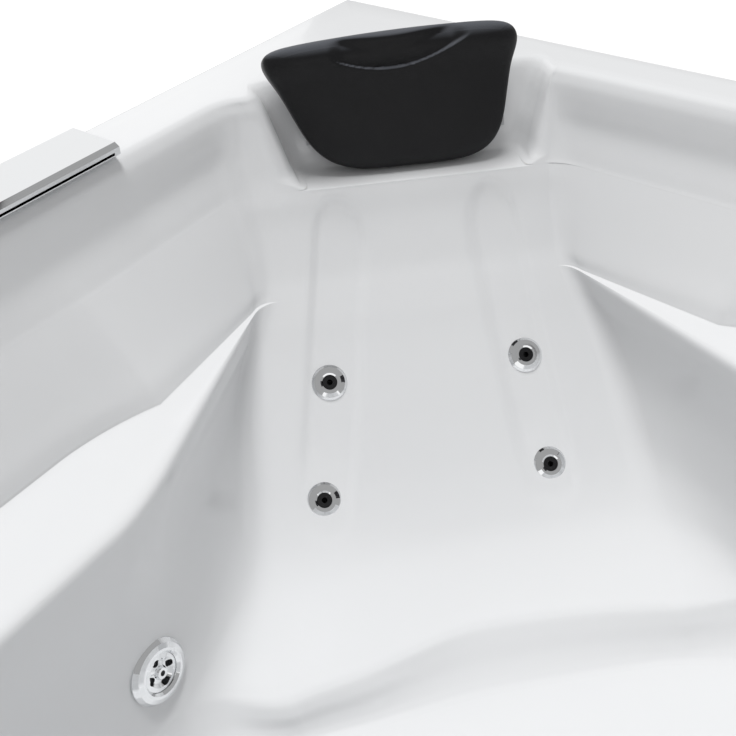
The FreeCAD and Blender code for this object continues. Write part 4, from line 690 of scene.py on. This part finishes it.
def ring_faces(around, rings):
    """Faces between rings of points, and the fan from the last ring to the point after it."""
    faces = []
    for j in range(rings - 1):
        for i in range(around):
            k = (i + 1) % around
            faces.append((j * around + i, j * around + k, (j + 1) * around + k, (j + 1) * around + i))
    last = (rings - 1) * around
    return faces + [(last + i, last + (i + 1) % around, last + around) for i in range(around)]


def skin_group(shell, grid):
    """Gives each point of the shell its share of the skin's thickness, in a vertex group."""
    forward, aside = grid[:, :2].sum(1) / ROOT2, (grid[:, 1] - grid[:, 0]) / ROOT2
    thin = (forward < THIN_FORWARD) & (np.abs(aside - POCKET_ASIDE) < THIN_HALF) & (grid[:, 2] < THIN_DEPTH)
    group = shell.vertex_groups.new(name="skin")
    for i in range(len(grid)):
        group.add([i], THIN_SHARE if thin[i] else 1.0, "REPLACE")
    group.add([len(grid)], 1.0, "REPLACE")
    return group.name


def bored(shell):
    """The shell with a round hole behind each jet and the waste."""
    cutter = bmesh.new()
    for node, radius in BORES.items():
        low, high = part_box(node)
        _, spot, normal, _ = shell.closest_point_on_mesh((low + high) / 2)
        turn = normal.to_track_quat("Z", "Y").to_matrix().to_4x4()
        bmesh.ops.create_cone(
            cutter, cap_ends=True, segments=BORE_SIDES, radius1=radius * MM, radius2=radius * MM,
            depth=BORE_LONG * MM, matrix=Matrix.Translation(spot) @ turn,
        )
    mesh = bpy.data.meshes.new("bores")
    cutter.to_mesh(mesh)
    cutter.free()
    tool = linked("bores", mesh)
    cut = shell.modifiers.new("bores", "BOOLEAN")
    cut.object = tool
    cut.solver = "EXACT"
    applied(shell)
    bpy.data.objects.remove(tool)
    return shell


def build_shell():
    """The whole acrylic shell as one thick skin with a hole behind each fitting."""
    basin = [outline(level) for level in between(stated_levels(), STEPS_BETWEEN)]
    loops = deck_loops(basin[0]) + basin
    loops += floor_loops(loops[-1])
    grid = sink_strips(np.vstack(loops))
    points = [walls(*p) for p in grid] + [walls(*WASTE)]
    shell = new_mesh("acrylic_shell", points, ring_faces(len(loops[0]), len(loops)), SHELL_SMOOTH_ANGLE)
    thick = shell.modifiers.new("thick", "SOLIDIFY")
    thick.vertex_group = skin_group(shell, grid)
    thick.thickness = WALL * MM
    thick.offset = -1
    thick.material_offset = 1
    thick.material_offset_rim = 0
    shell.data.materials.append(ACRYLIC)
    shell.data.materials.append(REINFORCED)
    return bored(applied(shell))


shell = build_shell()
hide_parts("shell")
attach(shell, "bath")

# ------------------------------------------------------------------ pillow
# `rise` is measured up the back of the pocket from its foot, and `proud` out from it
POCKET_FOOT = seat(POCKET_BACK_LOW, leaned(POCKET_BACK_LOW, 0), POCKET_DEPTH)
TILT = math.atan2(POCKET_LEAN, POCKET_DEPTH)
RISE = UP * math.cos(TILT) - FORWARD * math.sin(TILT)
PROUD = FORWARD * math.cos(TILT) + UP * math.sin(TILT)
PILLOW_PARTS = (84, 64, 24)
PILLOW_SMOOTH_ANGLE = 80
PILLOW_THICK, PILLOW_BACK = 74, 3.6
# lowest point of the cushion's front, its top edge, and its gap above the ledge
PILLOW_LOW, PILLOW_TOP, LEDGE_GAP = -9, 154, 2.0
# half width, and share of the thickness, at shares of the height
HALF_WIDTHS = ((0, 0.3, 0.65, 0.9, 1), (112, 128, 145, 159, 160))
THICKNESSES = ((0, 0.12, 0.4, 0.7, 0.88, 1), (0.50, 0.56, 0.68, 0.84, 1.0, 0.97))
# how square its corners are at the foot, how much squarer at the top, and how square its edges are
FOOT_POWER, TOP_POWER, EDGE_POWER = 4.2, 6.5, 4.6
# how far its top hangs aside, the slope of its top edge, and how far that edge drops at its half width
TOP_ASIDE, TOP_SLOPE, TOP_DROP, TOP_HALF = -23, 0.03, 6, 160
FACE_DROP, FACE_POWER = 4, 2.5
# the crescent hollow: height and curve of its lower lip, its middles, its depth, and where it fades out
LIP_RISE, LIP_CURVE, LIP_ASIDE, LIP_STEP = 107.5, 0.003, -30, 4
DISH_DEPTH, DISH_ASIDE = 9, -15
DISH_TOP, DISH_SIDES = (22, 40), (66, 88)


def pillow_point(aside, rise, proud):
    """A point in metres, from its place on the back of the pocket and its distance from it."""
    return POCKET_FOOT + (ASIDE * aside + RISE * rise + PROUD * proud) * MM


def cube_sphere(wide, long, deep):
    """Points and faces of a box from -1 to 1, divided evenly along each side."""
    spots, faces, index = [], [], {}

    def add(x, y, z):
        """The number of a point that neighbouring sides share."""
        key = (round(x, 6), round(y, 6), round(z, 6))
        if key not in index:
            index[key] = len(spots)
            spots.append((x, y, z))
        return index[key]

    def side(at, first, second):
        """Adds one side of the box, with so many faces each way."""
        for i in range(first):
            for j in range(second):
                ring = [(i, j), (i + 1, j), (i + 1, j + 1), (i, j + 1)]
                faces.append([add(*at(-1 + 2 * a / first, -1 + 2 * b / second)) for a, b in ring])

    side(lambda a, b: (a, b, 1.0), wide, long)
    side(lambda a, b: (-a, b, -1.0), wide, long)
    side(lambda a, b: (1.0, b, -a), deep, long)
    side(lambda a, b: (-1.0, b, a), deep, long)
    side(lambda a, b: (b, 1.0, -a), deep, wide)
    side(lambda a, b: (b, -1.0, a), deep, wide)
    return np.array(spots), faces


def softened(spots):
    """The box's points with its corners and edges rounded."""
    share = (spots[:, 1] + 1) / 2
    power = FOOT_POWER + TOP_POWER * smooth_step(0.35, 0.85, share)
    plane = (np.abs(spots[:, 0]) ** power + np.abs(spots[:, 1]) ** power) ** (1 / power)
    reach = (plane**EDGE_POWER + np.abs(spots[:, 2]) ** EDGE_POWER) ** (1 / EDGE_POWER)
    return spots / reach[:, None]


def build_pillow():
    """Moulded cushion: narrow foot, thick top roll, soft edges and a crescent hollow for the neck."""
    box, faces = cube_sphere(*PILLOW_PARTS)
    x, y, z = softened(box).T
    share = (y + 1) / 2
    aside = TOP_ASIDE * share + x * pchip(*HALF_WIDTHS, share)
    proud = PILLOW_BACK + (z + 1) / 2 * (PILLOW_THICK * pchip(*THICKNESSES, share))
    top = PILLOW_TOP + TOP_SLOPE * aside - TOP_DROP * (aside / TOP_HALF) ** 2
    low = np.maximum(PILLOW_LOW, (LEDGE_GAP - PROUD.z * proud) / RISE.z)
    rise = low + (top - low) * share
    faced = smooth_step(0.2, 0.9, z)
    proud -= FACE_DROP * faced * np.abs(x) ** FACE_POWER
    above = rise - (LIP_RISE + LIP_CURVE * (aside - LIP_ASIDE) ** 2)
    dish = smooth_step(0, LIP_STEP, above) * (1 - smooth_step(*DISH_TOP, above))
    dish *= 1 - smooth_step(*DISH_SIDES, np.abs(aside - DISH_ASIDE))
    proud -= DISH_DEPTH * faced * dish
    points = [pillow_point(a, r, p) for a, r, p in zip(aside, rise, proud)]
    pillow = new_mesh("neck_pillow", points, faces, PILLOW_SMOOTH_ANGLE)
    pillow.data.materials.append(SKIN)
    return pillow


pillow = build_pillow()
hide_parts("pillow")
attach(pillow, "headrest")

# ------------------------------------------------------------------ studio
FLOOR_REACH = 30
WORLD_STRENGTH = 0.38
KEY_POWER, KEY_SPREAD, KEY_AIM = 2.55, 24, (0.20, -0.10, -1)


def board(name, half_w, half_h):
    """A flat rectangle that faces up, round its own origin."""
    corners = [(-half_w, -half_h, 0), (half_w, -half_h, 0), (half_w, half_h, 0), (-half_w, half_h, 0)]
    return new_mesh(name, corners, [(0, 1, 2, 3)])


def build_floor():
    """Plain pale floor, much larger than the bath."""
    floor = board("studio_floor", FLOOR_REACH, FLOOR_REACH)
    made, _ = material("studio_floor", (0.90, 0.90, 0.90), 0.7)
    floor.data.materials.append(made)


def aimed(thing, direction):
    """Turns a lamp to shine in the direction."""
    thing.rotation_mode = "QUATERNION"
    thing.rotation_quaternion = direction.to_track_quat("-Z", "Y")


def area_light(name, spot, aim, width, height, power):
    """A soft rectangular light that looks at a point."""
    lamp = bpy.data.lights.new(name, "AREA")
    lamp.shape = "RECTANGLE"
    lamp.size = width
    lamp.size_y = height
    lamp.energy = power
    thing = linked(name, lamp)
    thing.location = spot
    aimed(thing, Vector(aim) - Vector(spot))


def key_light():
    """The main light from above, which mirrors don't show."""
    lamp = bpy.data.lights.new("key", "SUN")
    lamp.energy = KEY_POWER
    lamp.angle = math.radians(KEY_SPREAD)
    key = linked("key", lamp)
    aimed(key, Vector(KEY_AIM))
    key.visible_glossy = False


def dark_card(name, spot, turn, width, height):
    """A dark board overhead that only reflections see, so that chrome has something dark to mirror."""
    card = board(name, width / 2, height / 2)
    card.location = spot
    card.rotation_euler.z = turn
    made, _ = material(name, (0.01, 0.01, 0.012), 1.0)
    card.data.materials.append(made)
    card.visible_camera = False
    card.visible_diffuse = False
    card.visible_shadow = False


def build_studio():
    """White surroundings, one key light, two soft boards, the floor and two dark cards."""
    bpy.context.scene.view_settings.view_transform = "Standard"
    world = bpy.data.worlds.new("studio")
    bpy.context.scene.world = world
    world.use_nodes = True
    background = world.node_tree.nodes["Background"]
    background.inputs["Color"].default_value = (1.0, 1.0, 1.0, 1)
    background.inputs["Strength"].default_value = WORLD_STRENGTH
    key_light()
    area_light("sky_board", (-3.2, 1.6, 2.2), (-0.6, 0, 0.6), 3.0, 2.0, 11)
    area_light("fill", (2.4, -2.1, 1.5), (0, 0, 0.4), 3.0, 2.2, 14)
    build_floor()
    dark_card("card_right", (2.74, 0.55, 3.0), -0.24, 1.8, 2.0)
    dark_card("card_left", (-0.6, 0.9, 3.3), math.pi / 4, 1.2, 0.4)


CAMERA_SPOT = (0.1124, -0.4398, 1.0720)
# azimuth, elevation and roll in degrees, focal length and frame in pixels, sensor and near clip
CAMERA_TURN = (34.7, 40.25, -1.31)
FOCAL_PX, FRAME_PX = 900, 736
SENSOR_MM, CLIP_START = 36.0, 0.01


def build_camera():
    """The photograph's view: steep, over the left front of the bath, towards its corner."""
    azimuth, elevation, roll = map(math.radians, CAMERA_TURN)
    side = Vector((math.cos(azimuth), math.sin(azimuth), 0))
    flat = math.cos(elevation)
    ahead = Vector((-math.sin(azimuth) * flat, math.cos(azimuth) * flat, -math.sin(elevation)))
    lift = side.cross(ahead)
    turned_side = side * math.cos(roll) + lift * math.sin(roll)
    turned_lift = lift * math.cos(roll) - side * math.sin(roll)
    data = bpy.data.cameras.new("photo_camera")
    data.sensor_width = SENSOR_MM
    data.lens = SENSOR_MM * FOCAL_PX / FRAME_PX
    data.clip_start = CLIP_START
    camera = linked("photo_camera", data)
    turn = Matrix((turned_side, turned_lift, -ahead)).transposed()
    camera.matrix_world = Matrix.Translation(CAMERA_SPOT) @ turn.to_4x4()
    bpy.context.scene.camera = camera


build_studio()
build_camera()
